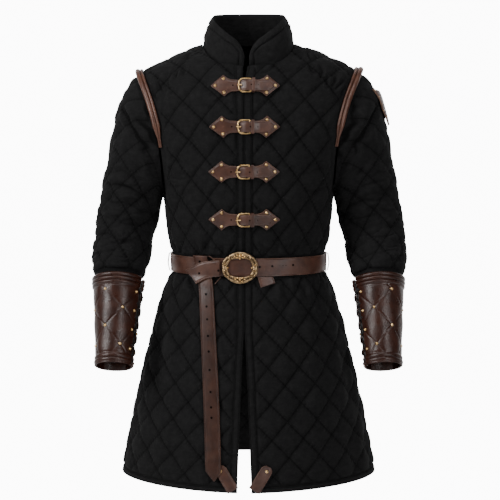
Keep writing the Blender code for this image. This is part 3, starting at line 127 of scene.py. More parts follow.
def smoothColumn(at, knots, values):
    # A cubic through a table's column, with slopes from its neighbours. The last axis follows the knots.
    at = np.clip(at, knots[0], knots[-1])
    slopes = np.gradient(values, knots, axis=-1)
    cell = np.clip(np.searchsorted(knots, at) - 1, 0, len(knots) - 2)
    span = knots[cell + 1] - knots[cell]
    t = (at - knots[cell]) / span

    def pick(array, index):
        return array[index] if array.ndim == 1 else np.take_along_axis(array, index, axis=-1)

    return ((2 * t**3 - 3 * t**2 + 1) * pick(values, cell)
            + (t**3 - 2 * t**2 + t) * span * pick(slopes, cell)
            + (3 * t**2 - 2 * t**3) * pick(values, cell + 1)
            + (t**3 - t**2) * span * pick(slopes, cell + 1))


def eased(value, start, end):
    # 0 before the start, 1 after the end, and a soft S between them.
    part = np.clip((value - start) / (end - start), 0, 1)
    return part * part * (3 - 2 * part)


def unit(vectors):
    # Each vector over its own length.
    return vectors / (np.linalg.norm(vectors, axis=-1, keepdims=True) + 1e-12)


def chain(*parts):
    return np.concatenate(parts)


def bell(off, width):
    # 1 in the middle, and falling off softly on both sides.
    return np.exp(-(off / width) ** 2)


def runOf(points):
    # The arc length along a line of points.
    return chain([0], np.cumsum(np.linalg.norm(np.diff(points, axis=0), axis=1)))


def readLine(at, run, points):
    # The places on a line at given arc lengths.
    return np.stack([np.interp(at, run, column) for column in points.T], axis=-1)


def smoothed(points, window):
    # A running mean down each column, with its ends held.
    window = window / window.sum()
    columns = [np.convolve(np.pad(column, len(window) // 2, mode="edge"), window, mode="valid")
               for column in np.atleast_2d(points.T)]
    return np.stack(columns, axis=-1) if points.ndim > 1 else columns[0]


def besideLine(x, y, start, end):
    # How far along a line each place lies, from 0 to 1, and how far off it.
    (x0, y0), dx, dy = start, end[0] - start[0], end[1] - start[1]
    along = np.clip(((x - x0) * dx + (y - y0) * dy) / (dx * dx + dy * dy), 0, 1)
    return along, np.hypot(x - x0 - along * dx, y - y0 - along * dy)


def pairs(x, y):
    # Two fields as one field of places.
    return np.stack(np.broadcast_arrays(x, y), axis=-1)


def roundTurns(count):
    # Even turns right round, without the last, which is the first again.
    return np.linspace(0, 2 * math.pi, count + 1)[:-1]


def wrapped(turn):
    # The same turn between minus and plus half a round.
    return (turn + math.pi) % (2 * math.pi) - math.pi


def wander(x, y, size, seed):
    # A smooth, uneven field between about -1 and 1: five crossing waves of one rough size.
    total = 0
    for k in range(5):
        way = 2.4 * k + seed * 1.7
        pace = 2 * math.pi / size * (0.7 + 0.23 * k)
        total = total + np.sin((x * math.cos(way) + y * math.sin(way)) * pace + seed * 5.1 + k * 2.3)
    return total / 2.6


def folds(x, y, rows):
    # Soft troughs along lines between two points, each with a low ridge on both sides. The middle
    # of a fold is deepest, and its line wanders a little.
    x, y = np.asarray(x, float), np.asarray(y, float)
    bentX = x + 0.004 * wander(x, y, 0.06, 3)
    bentY = y + 0.004 * wander(x, y, 0.06, 8)
    sink = np.zeros(x.shape)
    for *ends, halfWidth, depth in rows:
        along, off = besideLine(bentX, bentY, ends[:2], ends[2:])
        off = off / halfWidth
        taper = np.sin(math.pi * (0.08 + 0.84 * along))
        sink += depth * taper * (np.exp(-off**2) - 0.45 * bell(off - 2.0, 0.9))
    return sink


def foldShadeMask(x, y, rows):
    # 0 where a fold is shallow, and 1 along the middle of the deepest ones that aren't broad.
    # It masks the painted shade in the folds.
    rows = [(*row[:4], max(0.55 * row[4], 0.0027), row[5]) for row in rows if row[4] < 0.0095]
    return eased(folds(x, y, rows), 0.0008, 0.0048)


def standOff(surface, steps, outward, sink=None):
    # Returns place(a, b, lift): the surface's point at a and b, moved out along its normal.
    def place(a, b, lift):
        a, b, lift = np.broadcast_arrays(*(np.asarray(v, float) for v in (a, b, lift)))
        shape, a, b, lift = a.shape, a.ravel(), b.ravel(), lift.ravel()
        ahead = surface(a + steps[0], b) - surface(a - steps[0], b)
        upward = surface(a, b + steps[1]) - surface(a, b - steps[1])
        if sink is not None:
            lift = lift - sink(a, b)
        points = surface(a, b) + outward * unit(np.cross(ahead, upward)) * lift[:, None]
        return points.reshape(shape + (3,))
    return place


quarterAngles = np.linspace(0, math.pi / 2, 61)
quarterStep = quarterAngles[1]


def bodyColumn(name, height):
    # One of the body's measures at a height.
    return smoothColumn(height, bodyTable["height"], bodyTable[name])


def quarterLengths(width, depth, power):
    # Arc lengths round a quarter of a squared oval, from its depth end to its width end.
    x = width[:, None] * np.sin(quarterAngles) ** (2 / power)[:, None]
    y = depth[:, None] * np.cos(quarterAngles) ** (2 / power)[:, None]
    steps = np.hypot(np.diff(x, axis=1), np.diff(y, axis=1)) + 1e-12
    return np.concatenate([np.zeros((len(x), 1)), np.cumsum(steps, axis=1)], axis=1)


def angleAt(lengths, target):
    # The angle whose arc length is the target, row by row, and below it the reverse.
    rows = np.arange(len(target))
    cell = np.clip((lengths < target[:, None]).sum(axis=1) - 1, 0, len(quarterAngles) - 2)
    span = lengths[rows, cell + 1] - lengths[rows, cell]
    part = np.clip((target - lengths[rows, cell]) / span, 0, 1)
    return quarterAngles[cell] + part * quarterStep


def lengthAt(lengths, angle):
    rows = np.arange(len(angle))
    place = angle / quarterStep
    cell = np.clip(place.astype(int), 0, len(quarterAngles) - 2)
    part = place - cell
    return lengths[rows, cell] * (1 - part) + lengths[rows, cell + 1] * part


def bodySection(up, facing):
    # A level's half width, depth and squareness, which stay the chest's above the chest.
    low = np.minimum(up, levels["chest"])
    depth = bodyColumn("front" if facing < 0 else "back", low)
    return low, bodyColumn("halfWidth", low), depth, bodyColumn("squareness", low)


def overLengths(rise, depth):
    # Arc lengths over the shoulder, from the front or back up to the seam.
    return quarterLengths(rise, depth, np.full(len(rise), overPower))


def shoulderHeight(sideways):
    # The seam's height at a part of the half width.
    return smoothColumn(sideways, shoulderTable["part"], shoulderTable["height"])


def body(across, up, facing):
    # A point of the body's inner surface. across is an arc length from the middle, and up is a
    # height as far as the chest and then a length over the shoulder.
    low, width, depth, power = bodySection(up, facing)
    angle = angleAt(quarterLengths(width, depth, power), np.abs(across))
    sideways = np.sin(angle) ** (2 / power)
    forward = depth * np.cos(angle) ** (2 / power)
    rise = shoulderHeight(sideways) - levels["chest"]
    over = angleAt(overLengths(rise, forward), np.maximum(up - levels["chest"], 0))
    height = low + rise * np.sin(over) ** (2 / overPower)
    x = np.sign(across) * bodyColumn("halfWidth", height) * sideways
    y = facing * forward * np.cos(over) ** (2 / overPower)
    return np.stack([x, y, height], axis=-1)


def bodyPlace(x, z, facing):
    # The inverse: where on the pattern a point at x and z lies.
    low, width, depth, power = bodySection(z, facing)
    sideways = np.clip(np.abs(x) / bodyColumn("halfWidth", z), 0, 1)
    angle = np.arcsin(sideways ** (power / 2))
    across = np.sign(x) * lengthAt(quarterLengths(width, depth, power), angle)
    rise = shoulderHeight(sideways) - levels["chest"]
    forward = depth * np.cos(angle) ** (2 / power)
    over = np.arcsin(np.clip((z - levels["chest"]) / rise, 0, 1) ** (overPower / 2))
    above = lengthAt(overLengths(rise, forward), over)
    return across, low + np.where(z > levels["chest"], above, 0)


def sideLength(up, facing):
    # The pattern distance from the middle to the side seam.
    low, width, depth, power = bodySection(np.asarray(up, float), facing)
    return quarterLengths(width, depth, power)[:, -1]


def shoulderUp(across, facing):
    # How far up the pattern the shoulder seam is.
    low, width, depth, power = bodySection(np.full(len(across), levels["chest"]), facing)
    angle = angleAt(quarterLengths(width, depth, power), np.abs(across))
    rise = shoulderHeight(np.sin(angle) ** (2 / power)) - levels["chest"]
    return levels["chest"] + overLengths(rise, depth * np.cos(angle) ** (2 / power))[:, -1]


front, back = (standOff(lambda a, u, f=f: body(a, u, f), (0.0008, 0.0008), -f) for f in (-1, 1))
onSide = {-1: front, 1: back}


def frontEdge(up, side):
    # A front's edge: straight down from the neck slit, and drifting aside below the waist.
    part = np.clip((levels["slitTop"] - up) / (levels["slitTop"] - levels["hem"]), 0, 1)
    neck = np.clip((up - neckSlitFrom) / 0.054, 0, 1) * (side > 0)
    return closureX + side * (cloth["seam"] * 1.6 + slitHalf * part**0.8 + neckSlit * neck)


def neckline(turn, facing):
    # Pattern places from the middle (turn 0) to the shoulder seam (a right angle).
    x = neckSideX * np.sin(turn)
    middle = levels["neckFront"] if facing < 0 else levels["neckBack"]
    side = float(shoulderHeight(np.array([neckSideX / 0.2475]))[0])
    z = middle + (side - middle) * (np.abs(x) / neckSideX) ** (4 if facing < 0 else 3)
    across, up = bodyPlace(x, z, facing)
    near = np.clip((np.abs(turn) - math.radians(75)) / math.radians(15), 0, 1)
    return across, up + (shoulderUp(across, facing) - up) * near**2


def armhole(turn, facing):
    # Pattern places from the shoulder (turn 0) to the underarm (turn pi).
    topZ = float(shoulderHeight(np.array([armholeTopPart]))[0])
    topX = armholeTopPart * float(bodyColumn("halfWidth", np.array([topZ]))[0])
    lowX = float(bodyColumn("halfWidth", np.array([levels["armpit"]]))[0])
    x = (topX + lowX) / 2 + (topX - lowX) / 2 * np.cos(turn) - armholeInset * np.sin(turn) ** 2
    z = (topZ + levels["armpit"]) / 2 + (topZ - levels["armpit"]) / 2 * np.cos(turn)
    across, up = bodyPlace(x, z, facing)
    near = np.clip(1 - turn / math.radians(14), 0, 1)
    return across, up + (shoulderUp(across, facing) - up) * near**2


rings = chain([0.0], sleeveTable["ring"])
ringSteps = np.linspace(0, rings[-1], 97)

# The frame's own folds: a turn from the outer line in degrees and a distance above the cuff
sleeveFolds = (
    (48, 0.345, 118, 0.185, 0.016, 0.006),
    (-48, 0.335, -118, 0.185, 0.016, 0.005),
    (60, 0.105, 165, 0.09, 0.012, 0.005),
    (75, 0.065, 170, 0.058, 0.012, 0.0045),
    (-110, 0.1, -175, 0.085, 0.012, 0.004),
)


def ringPoints(turn):
    # Points on the armhole and on each ring, a slanting oval between its inner and outer end.
    fold = np.abs(wrapped(turn))
    seam = np.where((np.sin(turn) >= 0)[:, None], body(*armhole(fold, -1), -1), body(*armhole(fold, 1), 1))
    t = sleeveTable
    pitch = np.radians(t["pitch"])
    out, fore = np.cos(turn)[:, None], np.sin(turn)[:, None]
    x = (t["innerX"] + t["outerX"]) / 2 + (t["outerX"] - t["innerX"]) / 2 * out
    y = t["centreY"] - t["halfDepth"] * np.cos(pitch) * fore
    z = ((t["innerZ"] + t["outerZ"]) / 2 + (t["outerZ"] - t["innerZ"]) / 2 * out
         + t["halfDepth"] * np.sin(pitch) * fore)
    return np.concatenate([seam[:, :, None], np.stack([x, y, z], axis=1)], axis=2)


def sleeveLines(turn):
    # Lines down the sleeve, with their distance above the cuff's top.
    points = ringPoints(turn)
    at = np.broadcast_to(ringSteps, (len(turn), len(ringSteps)))
    line = np.stack([smoothColumn(at, rings, points[:, axis]) for axis in range(3)], axis=-1)
    steps = np.linalg.norm(np.diff(line, axis=1), axis=-1)
    length = np.concatenate([np.zeros((len(turn), 1)), np.cumsum(steps, axis=1)], axis=1)
    cuff = np.argmin(np.abs(ringSteps - cuffTopRing))
    return line, length[:, cuff:cuff + 1] - length


def sleeveRaw(turn, high):
    # The point of the sleeve's inner surface at a turn and a distance above the cuff.
    turns, which = np.unique(np.round(turn, 9), return_inverse=True)
    line, above = sleeveLines(turns)
    cell = np.empty(len(turn), int)
    for start in range(0, len(turn), 20000):
        part = slice(start, start + 20000)
        cell[part] = (above[which[part]] > high[part, None]).sum(axis=1) - 1
    cell = np.clip(cell, 0, len(ringSteps) - 2)
    span = above[which, cell] - above[which, cell + 1]
    part = np.clip((above[which, cell] - high) / span, 0, 1)[:, None]
    return line[which, cell] * (1 - part) + line[which, cell + 1] * part


def sleeveCap(turn):
    # How far above the cuff the armhole seam is.
    return sleeveLines(turn)[1][:, 0]


def sleeveSink(turn, high):
    # The large folds' depth: a soft trough along each line.
    radius, sink = 0.062, np.zeros(len(turn))
    for turn0, high0, turn1, high1, halfWidth, depth in sleeveFolds:
        ends = [(math.radians(t) * radius, h) for t, h in ((turn0, high0), (turn1, high1))]
        along, off = besideLine(wrapped(turn) * radius, high, *ends)
        sink += depth * np.sin(math.pi * (0.12 + 0.76 * along)) * bell(off, halfWidth)
    return sink


def onSleeve(side):
    # place(turn, high, lift) for one sleeve. turn goes from the outer line to the front.
    place = standOff(sleeveRaw, (0.0008 / 0.06, 0.0008), -1, sleeveSink)
    return lambda turn, high, lift: place(turn, high, lift) * mirror[side]


def worn(points):
    # The wearer's right shoulder sits lower, and the left sleeve stands out further.
    points = np.array(points, float)
    x, height = points[..., 0].copy(), points[..., 2].copy()
    points[..., 2] -= rightDrop * eased(-x, 0.05, 0.16) * eased(height, -0.3, -0.1)
    points[..., 0] += leftOut * eased(x, 0.195, 0.265) * eased(height, -0.5, -0.4)
    return points


print("stage: surfaces ready")


class Look:
    # One material, whose nodes are joined as they are made. Its slot argument is not used.
    def __init__(self, name, slot=None):
        self.material = bpy.data.materials.new(name)
        self.material.use_nodes = True
        self.tree = self.material.node_tree
        self.shader = self.tree.nodes["Principled BSDF"]
        self.where = self.add("ShaderNodeTexCoord").outputs["Object"]

    def add(self, kind, inputs=(), **settings):
        node = self.tree.nodes.new(kind)
        for key, value in settings.items():
            setattr(node, key, value)
        self.fill(node, inputs if isinstance(inputs, dict) else dict(enumerate(inputs)))
        return node

    def fill(self, node, inputs):
        for key, value in inputs.items():
            if isinstance(value, bpy.types.NodeSocket):
                self.tree.links.new(value, node.inputs[key])
            else:
                node.inputs[key].default_value = value

    def math(self, operation, *values):
        return self.add("ShaderNodeMath", values, operation=operation).outputs[0]

    def total(self, *values):
        return functools.reduce(lambda a, b: self.math("ADD", a, b), values)

    def times(self, *values):
        return functools.reduce(lambda a, b: self.math("MULTIPLY", a, b), values)

    def noise(self, scale, detail=3.0, rough=0.55):
        inputs = {"Vector": self.where, "Scale": scale, "Detail": detail, "Roughness": rough}
        return self.add("ShaderNodeTexNoise", inputs).outputs[0]

    def cells(self, scale):
        return self.add("ShaderNodeTexVoronoi", {"Vector": self.where, "Scale": scale}).outputs[0]

    def between(self, value, low, high, first=0.0, last=1.0):
        inputs = {"Value": value, "From Min": low, "From Max": high, "To Min": first, "To Max": last}
        return self.add("ShaderNodeMapRange", inputs, interpolation_type="SMOOTHSTEP").outputs[0]

    def mix(self, amount, first, second):
        node = self.add("ShaderNodeMix", {0: amount, 6: first, 7: second}, data_type="RGBA")
        return node.outputs[2]

    def mark(self, name):
        return self.add("ShaderNodeAttribute", attribute_name=name).outputs["Fac"]

    def laid(self, name):
        split = self.add("ShaderNodeSeparateXYZ", (self.add("ShaderNodeUVMap", uv_map=name).outputs[0],))
        return split.outputs[0], split.outputs[1]

    def finish(self, colour, rough, height, distance, **more):
        bump = self.add("ShaderNodeBump", {"Strength": 1.0, "Distance": distance, "Height": height})
        self.fill(self.shader, {"Base Color": colour, "Roughness": rough, "Normal": bump.outputs[0], **more})
        return self.material


# channel is the colour of the painted shade in channels, deep folds and band edges
clothLook = {
    "dark": (0.0074, 0.0073, 0.0075, 1), "light": (0.0114, 0.0112, 0.0114, 1),
    "channel": (0.0012, 0.0012, 0.0012, 1), "thread": 0.0018, "stitch": 0.0042, "pucker": 0.0085,
    "weave": 0.0013, "drawn": 1.3, "rough": 0.95, "sheen": 0.012,
}
quiltShape = {
    "spacing": 0.05, "alongUnit": 0.0515,    # metres to one count across and along a channel
    "channel": 0.0058,        # how fast the cloth rises beside a channel
    "dome": 0.3,             # the part of the rise that a diamond's broad middle makes
    "pucker": 0.00075, "puckerPitch": 0.0165, "puckerReach": 0.0095,
    "ripple": 0.00055,
    "pressed": 0.0066,        # the highest cloth under a strap
}


def makeCloth(name, quilted):
    # Matt black cotton: a fine weave, thin level creases, uneven wear, and along each channel a row
    # of dashes for the stitches with small puckers across it. Painted shade darkens the channels and
    # deep folds, and the edges of plain bands. a and b count the channels of the two slanting sets.
    look = Look(name, "quilted_cotton")
    x, y = look.laid("metric")
    weave = look.times(*(look.math("SINE", look.times(v, 2 * math.pi / clothLook["weave"])) for v in (x, y)))
    level = look.add("ShaderNodeCombineXYZ", (look.times(x, 38.0), look.times(y, 190.0)))
    drawn = look.add("ShaderNodeTexNoise", {"Vector": level.outputs[0], "Scale": 1.0, "Detail": 3.0})
    height = look.total(look.times(weave, 0.045), look.times(look.noise(230, 4), 0.22),
                        look.times(look.noise(60, 3), 0.25), look.times(drawn.outputs[0], clothLook["drawn"]))
    wear = look.between(look.noise(90, 5, 0.7), 0.3, 0.72)
    colour = look.mix(wear, clothLook["dark"], clothLook["light"])
    if quilted:
        a, b = look.laid("pattern")
        flat = look.mark("flat")
        for across, along in ((a, b), (b, a)):
            off = look.times(look.math("PINGPONG", across, 0.5), quiltShape["spacing"])
            line = look.between(off, 0.0003, clothLook["thread"], 1.0, 0.0)
            channelShade = look.between(off, 0.001, 0.0085, 1.0, 0.0)
            wide = look.between(off, 0.001, 0.01, 1.0, 0.0)
            way = 2 * math.pi * quiltShape["alongUnit"]
            dash = look.between(look.math("SINE", look.times(along, way / clothLook["stitch"])), -0.5, 0.3)
            waves = look.total(look.times(along, way / clothLook["pucker"]), look.times(look.noise(28, 2), 9.0))
            pucker = look.times(look.math("SINE", waves), wide)
            height = look.total(height, look.times(line, dash, 0.5), look.times(pucker, flat, 0.42))
            # Painted shade along each channel: a broad soft band, and a darker core over the thread line
            for amount, part in ((channelShade, 0.2), (line, 0.62)):
                colour = look.mix(look.times(amount, flat, part), colour, clothLook["channel"])
    # Painted shade: quilted cloth darkens in its deep folds, and plain bands along their edges and pressed
    # lines
    dark, share = ("fold", 0.85) if quilted else ("edge", 0.8)
    colour = look.mix(look.times(look.mark(dark), share), colour, clothLook["channel"])
    return look.finish(colour, clothLook["rough"], height, 0.0009,
                       **{"Sheen Weight": clothLook["sheen"], "Sheen Roughness": 0.6,
                          "Specular IOR Level": 0.07})


def makeLeather(name, slot, dark, light, raw, rough, shine, upper=None):
    # Grained hide: cells and noise for the grain, cloudy colour, paler cut edges, and near-black painted shade
    # in holes.
    # upper gives other colours from a height on; on the tail they are a painted highlight on its top.
    look = Look(name, slot)
    def full(colours):
        return [(*(part / 10000 for part in colour), 1) for colour in colours]

    dark, light, raw = full((dark, light, raw))
    cloud = look.between(look.noise(38, 5, 0.62), 0.3, 0.7)
    colour = look.mix(cloud, dark, light)
    # Above the height the colours change; on the tail they are lighter, a painted highlight
    if upper:
        height, *colours = upper
        spot = look.add("ShaderNodeSeparateXYZ", (look.where,))
        share = look.between(spot.outputs["Z"], height - 0.015, height + 0.01)
        colour = look.mix(share, colour, look.mix(cloud, *full(colours)))
    scuff = look.between(look.noise(150, 6, 0.7), 0.58, 0.78)
    colour = look.mix(look.times(scuff, 0.45), colour, raw)
    colour = look.mix(look.times(look.mark("edge"), 0.75), colour, raw)
    # Painted shade: near black wherever a hole mark lies
    colour = look.mix(look.mark("hole"), colour, (0.004, 0.003, 0.002, 1))
    height = look.total(look.times(look.cells(900), 0.35), look.times(look.noise(420, 4), 0.3),
                        look.times(look.noise(70, 3), 0.24))
    roughness = look.between(look.noise(90, 4), 0.25, 0.75, rough - 0.05, rough + 0.09)
    return look.finish(colour, roughness, height, 0.00045,
                       **{"Specular IOR Level": shine, "Coat Weight": 0.03, "Coat Roughness": 0.35})


def makeMetal(name, bright, dull, rough):
    # Aged brass, duller where it lies low.
    look = Look(name, "brass")
    stain = look.between(look.noise(160, 5, 0.65), 0.38, 0.66)
    colour = look.mix(stain, (*bright, 1), (*dull, 1))
    colour = look.mix(look.mark("low"), colour, (0.03, 0.018, 0.008, 1))
    height = look.total(look.times(look.noise(700, 3), 0.3), look.noise(120, 3))
    roughness = look.between(look.noise(210, 3), 0.3, 0.7, rough - 0.07, rough + 0.13)
    return look.finish(colour, roughness, height, 0.00016, **{"Metallic": 1.0})


quilted, plainCloth = makeCloth("quilted_black", True), makeCloth("black_cotton", False)

# Each hide: its slot, dark, light and worn colours in ten-thousandths, roughness and shine, and
# other colours from a height on
hides = {
    "brown_hide": ("leather", (360, 130, 80), (740, 290, 175), (1750, 880, 540), 0.36, 0.5),
    # The tail's lighter colours above its height are a painted highlight on its top, where it lies over the
    # belt
    "tail_hide": ("leather", (230, 80, 46), (460, 170, 98), (1100, 500, 300), 0.38, 0.34,
                  (-0.48, (360, 130, 80), (800, 320, 190))),
    "dark_hide": ("cuff_leather", (210, 64, 38), (380, 120, 68), (750, 280, 160), 0.3, 0.36),
    "pale_hide": ("leather", (500, 210, 140), (880, 400, 260), (2600, 1600, 1050), 0.5, 0.4),
    "black_hide": ("lace", (60, 50, 50), (130, 110, 100), (300, 240, 200), 0.48, 0.4),
    "piping_hide": ("leather", (600, 210, 120), (1050, 400, 220), (1800, 850, 500), 0.36, 0.5),
    # This black is painted shade: the inside of holes and the hollow beside the belt's knot
    "hole_shade_black": ("lace", (10, 8, 7), (20, 16, 14), (30, 30, 20), 0.9, 0.03),
    "black_thread": ("quilted_cotton", (15, 15, 15), (30, 30, 30), (40, 40, 40), 0.9, 0.05),
}
(strapHide, tailHide, cuffHide, loopHide,
 blackHide, pipingHide, holeShadeLook, threadLook) = (makeLeather(name, *row) for name, row in hides.items())
brass = makeMetal("aged_brass", (0.86, 0.58, 0.27), (0.5, 0.31, 0.13), 0.3)
ringBrass = makeMetal("ring_brass", (0.56, 0.385, 0.215), (0.25, 0.165, 0.09), 0.32)
print("stage: looks ready")


def gridFaces(rows, columns, aroundRows=False, aroundColumns=False):
    # The quads of a grid of points counted row by row.
    i, j = np.meshgrid(np.arange(rows if aroundRows else rows - 1),
                       np.arange(columns if aroundColumns else columns - 1), indexing="ij")
    i2, j2 = (i + 1) % rows, (j + 1) % columns
    quads = np.stack([i * columns + j, i * columns + j2, i2 * columns + j2, i2 * columns + j], axis=-1)
    return quads.reshape(-1, 4)


def tubeFaces(rows, columns, closed=False):
    # The faces of a tube of rings, with a face at each end unless it runs back into itself.
    faces = [gridFaces(rows, columns, aroundRows=closed, aroundColumns=True)]
    if not closed:
        ring = np.arange(columns)[None, :]
        faces += [ring[:, ::-1], ring + (rows - 1) * columns]
    return faces


def closedVolume(points, faces):
    # Six times the volume inside the faces.
    volume = 0.0
    for group in faces:
        first = points[group[:, 0]]
        for k in range(1, group.shape[1] - 1):
            volume += np.einsum("ij,ij->", first, np.cross(points[group[:, k]], points[group[:, k + 1]]))
    return volume


made = {"triangles": 0}


def addObject(name, data):
    item = bpy.data.objects.new(name, data)
    bpy.context.scene.collection.objects.link(item)
    return item


def makePiece(name, points, faces, look, replacing=True, laid=None, marks=None, sharp=48):
    # A closed mesh, turned so that its normals point outward. It replaces the frame's solid of the
    # same name, or is added beside the solids.
    points = worn(np.asarray(points, float).reshape(-1, 3))
    faces = [np.asarray(group, int) for group in faces]
    if closedVolume(points, faces) < 0:
        faces = [group[:, ::-1] for group in faces]
    loops = np.concatenate([group.ravel() for group in faces])
    sizes = np.concatenate([np.full(len(group), group.shape[1]) for group in faces])
    mesh = bpy.data.meshes.new(name + "_mesh")
    mesh.vertices.add(len(points))
    mesh.vertices.foreach_set("co", points.astype(np.float32).ravel())
    mesh.loops.add(len(loops))
    mesh.loops.foreach_set("vertex_index", loops.astype(np.int32))
    mesh.polygons.add(len(sizes))
    mesh.polygons.foreach_set("loop_start", (np.cumsum(sizes) - sizes).astype(np.int32))
    mesh.update(calc_edges=True)
    for key, values in (laid or {}).items():
        layer = mesh.uv_layers.new(name=key)
        layer.data.foreach_set("uv", np.asarray(values, np.float32).reshape(-1, 2)[loops].ravel())
    for key, values in (marks or {}).items():
        mark = mesh.attributes.new(key, "FLOAT", "POINT")
        mark.data.foreach_set("value", np.asarray(values, np.float32).ravel())
    mesh.materials.append(look)
    mesh.shade_smooth()
    mesh.set_sharp_from_angle(angle=math.radians(sharp))
    item = addObject(name + "_dressed" if replacing else name, mesh)
    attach(item, "root")
    if replacing:
        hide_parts(name)
    made["triangles"] += int((sizes - 2).sum())
    return item


def gridNormals(grid):
    # Unit normals from each point's neighbours, away from the middle of its row.
    normals = unit(np.cross(np.gradient(grid, axis=1), np.gradient(grid, axis=0)))
    outward = np.sign(np.sum(normals * (grid - grid.mean(axis=1, keepdims=True))))
    return normals * outward


def rim(rows, columns, start=0):
    # The indices round a grid's border.
    index = start + np.arange(rows * columns).reshape(rows, columns)
    return chain(index[0, :-1], index[:-1, -1], index[-1, :0:-1], index[:0:-1, 0])


def quiltedShell(name, outer, inner, pattern, metric, flat, fold):
    # A fine outer side over an inner side with every second point, joined all round the border.
    rows, columns = outer.shape[:2]
    inside = inner[::2, ::2]
    count = rows * columns
    outline, plain = rim(rows, columns), rim(*inside.shape[:2], count)
    near, far = plain, np.roll(plain, -1)
    a, b, c = outline[::2], outline[1::2], np.roll(outline[::2], -1)
    ties = np.concatenate([np.stack(t, axis=-1) for t in ((a, near, b), (b, near, far), (b, far, c))])

    def both(values):
        return np.concatenate([v.reshape(-1, v.shape[-1]) for v in (values, values[::2, ::2])])

    points = chain(outer.reshape(-1, 3), inside.reshape(-1, 3))
    faces = [gridFaces(rows, columns), gridFaces(*inside.shape[:2])[:, ::-1] + count, ties]
    laid = {"pattern": both(pattern), "metric": both(metric)}
    # The fold mark is where painted shade darkens the deep folds
    marks = {"flat": both(flat[..., None]), "fold": both(fold[..., None])}
    return makePiece(name, points, faces, quilted, True, laid, marks)


def profileTables(thick, crease):
    # The cross-section of a strip from its left edge to its middle: an offset from the edge and a
    # part of the thickness. The edge is rounded, and a pressed line runs beside it.
    offsets = np.array([0.0009, 0.0002, 0.0, 0.0002, 0.0007, 0.0021, 0.0026, 0.0031])
    return offsets * min(1.0, thick / 0.0016), np.array([0.0, 0.1, 0.5, 0.82, 1.0, 1.0, 1.0 - crease, 1.0])


def strip(name, place, left, right, lift, thick, look, replacing=True, middle=4, crease=0.16, crown=0.0,
          lean=np.array([[0.0, 1.0]]), extra=None):
    # A strip between two edges in pattern places, each (n, 2). Its section is carried from station
    # to station, its ends are rounded, and lean tips its thickness along the pattern's second axis.
    offsets, parts = profileTables(thick, crease)
    count, far = len(left), np.linspace(0, 1, middle + 1)[1:]
    width = np.linalg.norm(right - left, axis=1)[:, None]
    limit = (np.arange(len(offsets)) + 0.5) / (len(offsets) + 1.0)
    limit[:3] = (0.3, 0.08, 0.0)
    edge = np.minimum(offsets, width / 2 * limit)
    leftSide = np.concatenate([edge, edge[:, -1:] + (width / 2 - edge[:, -1:]) * far], axis=1)
    across = np.concatenate([leftSide, (width - leftSide)[:, -2::-1]], axis=1)
    height = chain(parts, 1 + crown * np.sin(far * math.pi / 2))
    height = chain(height, height[-2::-1])
    # On plain cloth the border mark is painted shade along the rounded edges and the pressed line; on leather
    # it marks the paler cut edges
    border = np.array([1, 1, 1, 0.9, 0.6, 0.0, 0.5, 0] if look is plainCloth else [1, 1, 1, 0.8])
    marks = chain(border, np.zeros(len(height) - 2 * len(border)), border[::-1])
    part = (across / np.maximum(width, 1e-9))[..., None]
    spot = left[:, None] * (1 - part) + right[:, None] * part
    run = runOf((left + right) / 2)
    near = np.clip(np.minimum(run, run[-1] - run) / 0.0012, 0, 1)
    ends = np.where(near < 1, np.sqrt(np.clip(1 - (1 - near) ** 2, 0.06, 1)), 1.0)
    rise = thick * (0.45 + (height - 0.45) * ends[:, None])
    if extra:
        rise = rise + extra(spot[..., 0], spot[..., 1]) * height.clip(0, 1)
    lift = np.broadcast_to(lift, (count,))[:, None]
    points = place(spot[..., 0], spot[..., 1] + rise * lean[:, :1], lift + rise * lean[:, 1:])
    return makePiece(name, points, tubeFaces(count, across.shape[1]), look, replacing, {"metric": spot},
                     {"edge": np.tile(marks, count)}, 60)


def stations(knots, spacing):
    # Places from the first knot to the last, all the knots among them, closer at the two ends.
    places = [np.linspace(a, b, max(1, int(math.ceil(abs(b - a) / spacing))) + 1)
              for a, b in zip(knots[:-1], knots[1:])]
    way = np.sign(knots[-1] - knots[0])
    near = np.array([0.00015, 0.0005, 0.0010])
    places += [knots[0] + way * near, knots[-1] - way * near]
    places = np.unique(np.round(np.concatenate(places), 6))
    return places if way > 0 else places[::-1]


def tableStrip(name, place, along, low, high, lift, *rest, spacing=0.0016, turned=False, **more):
    # A strip from table rows: along runs down its length, and low and high are its edges.
    at, order = stations(along, spacing), np.argsort(along)
    low, high, lift = (np.interp(at, along[order], np.broadcast_to(v, along.shape)[order])
                       for v in (low, high, lift))
    edges = [pairs(v, at) if turned else pairs(at, v) for v in (low, high)]
    return strip(name, place, *edges, smoothed(lift, np.ones(5)), *rest, **more)


def pathFrames(points, closed):
    # Tangents and two steady side directions along a path.
    if closed:
        tangents = unit(np.roll(points, -1, axis=0) - np.roll(points, 1, axis=0))
    else:
        tangents = unit(np.gradient(points, axis=0))
    side = np.empty_like(tangents)
    start = np.cross(tangents[0], (0.13, 0.21, 0.97))
    side[0] = start / np.linalg.norm(start)
    for k in range(1, len(points)):
        turned = side[k - 1] - tangents[k] * (side[k - 1] @ tangents[k])
        side[k] = turned / np.linalg.norm(turned)
    return tangents, side, np.cross(tangents, side)


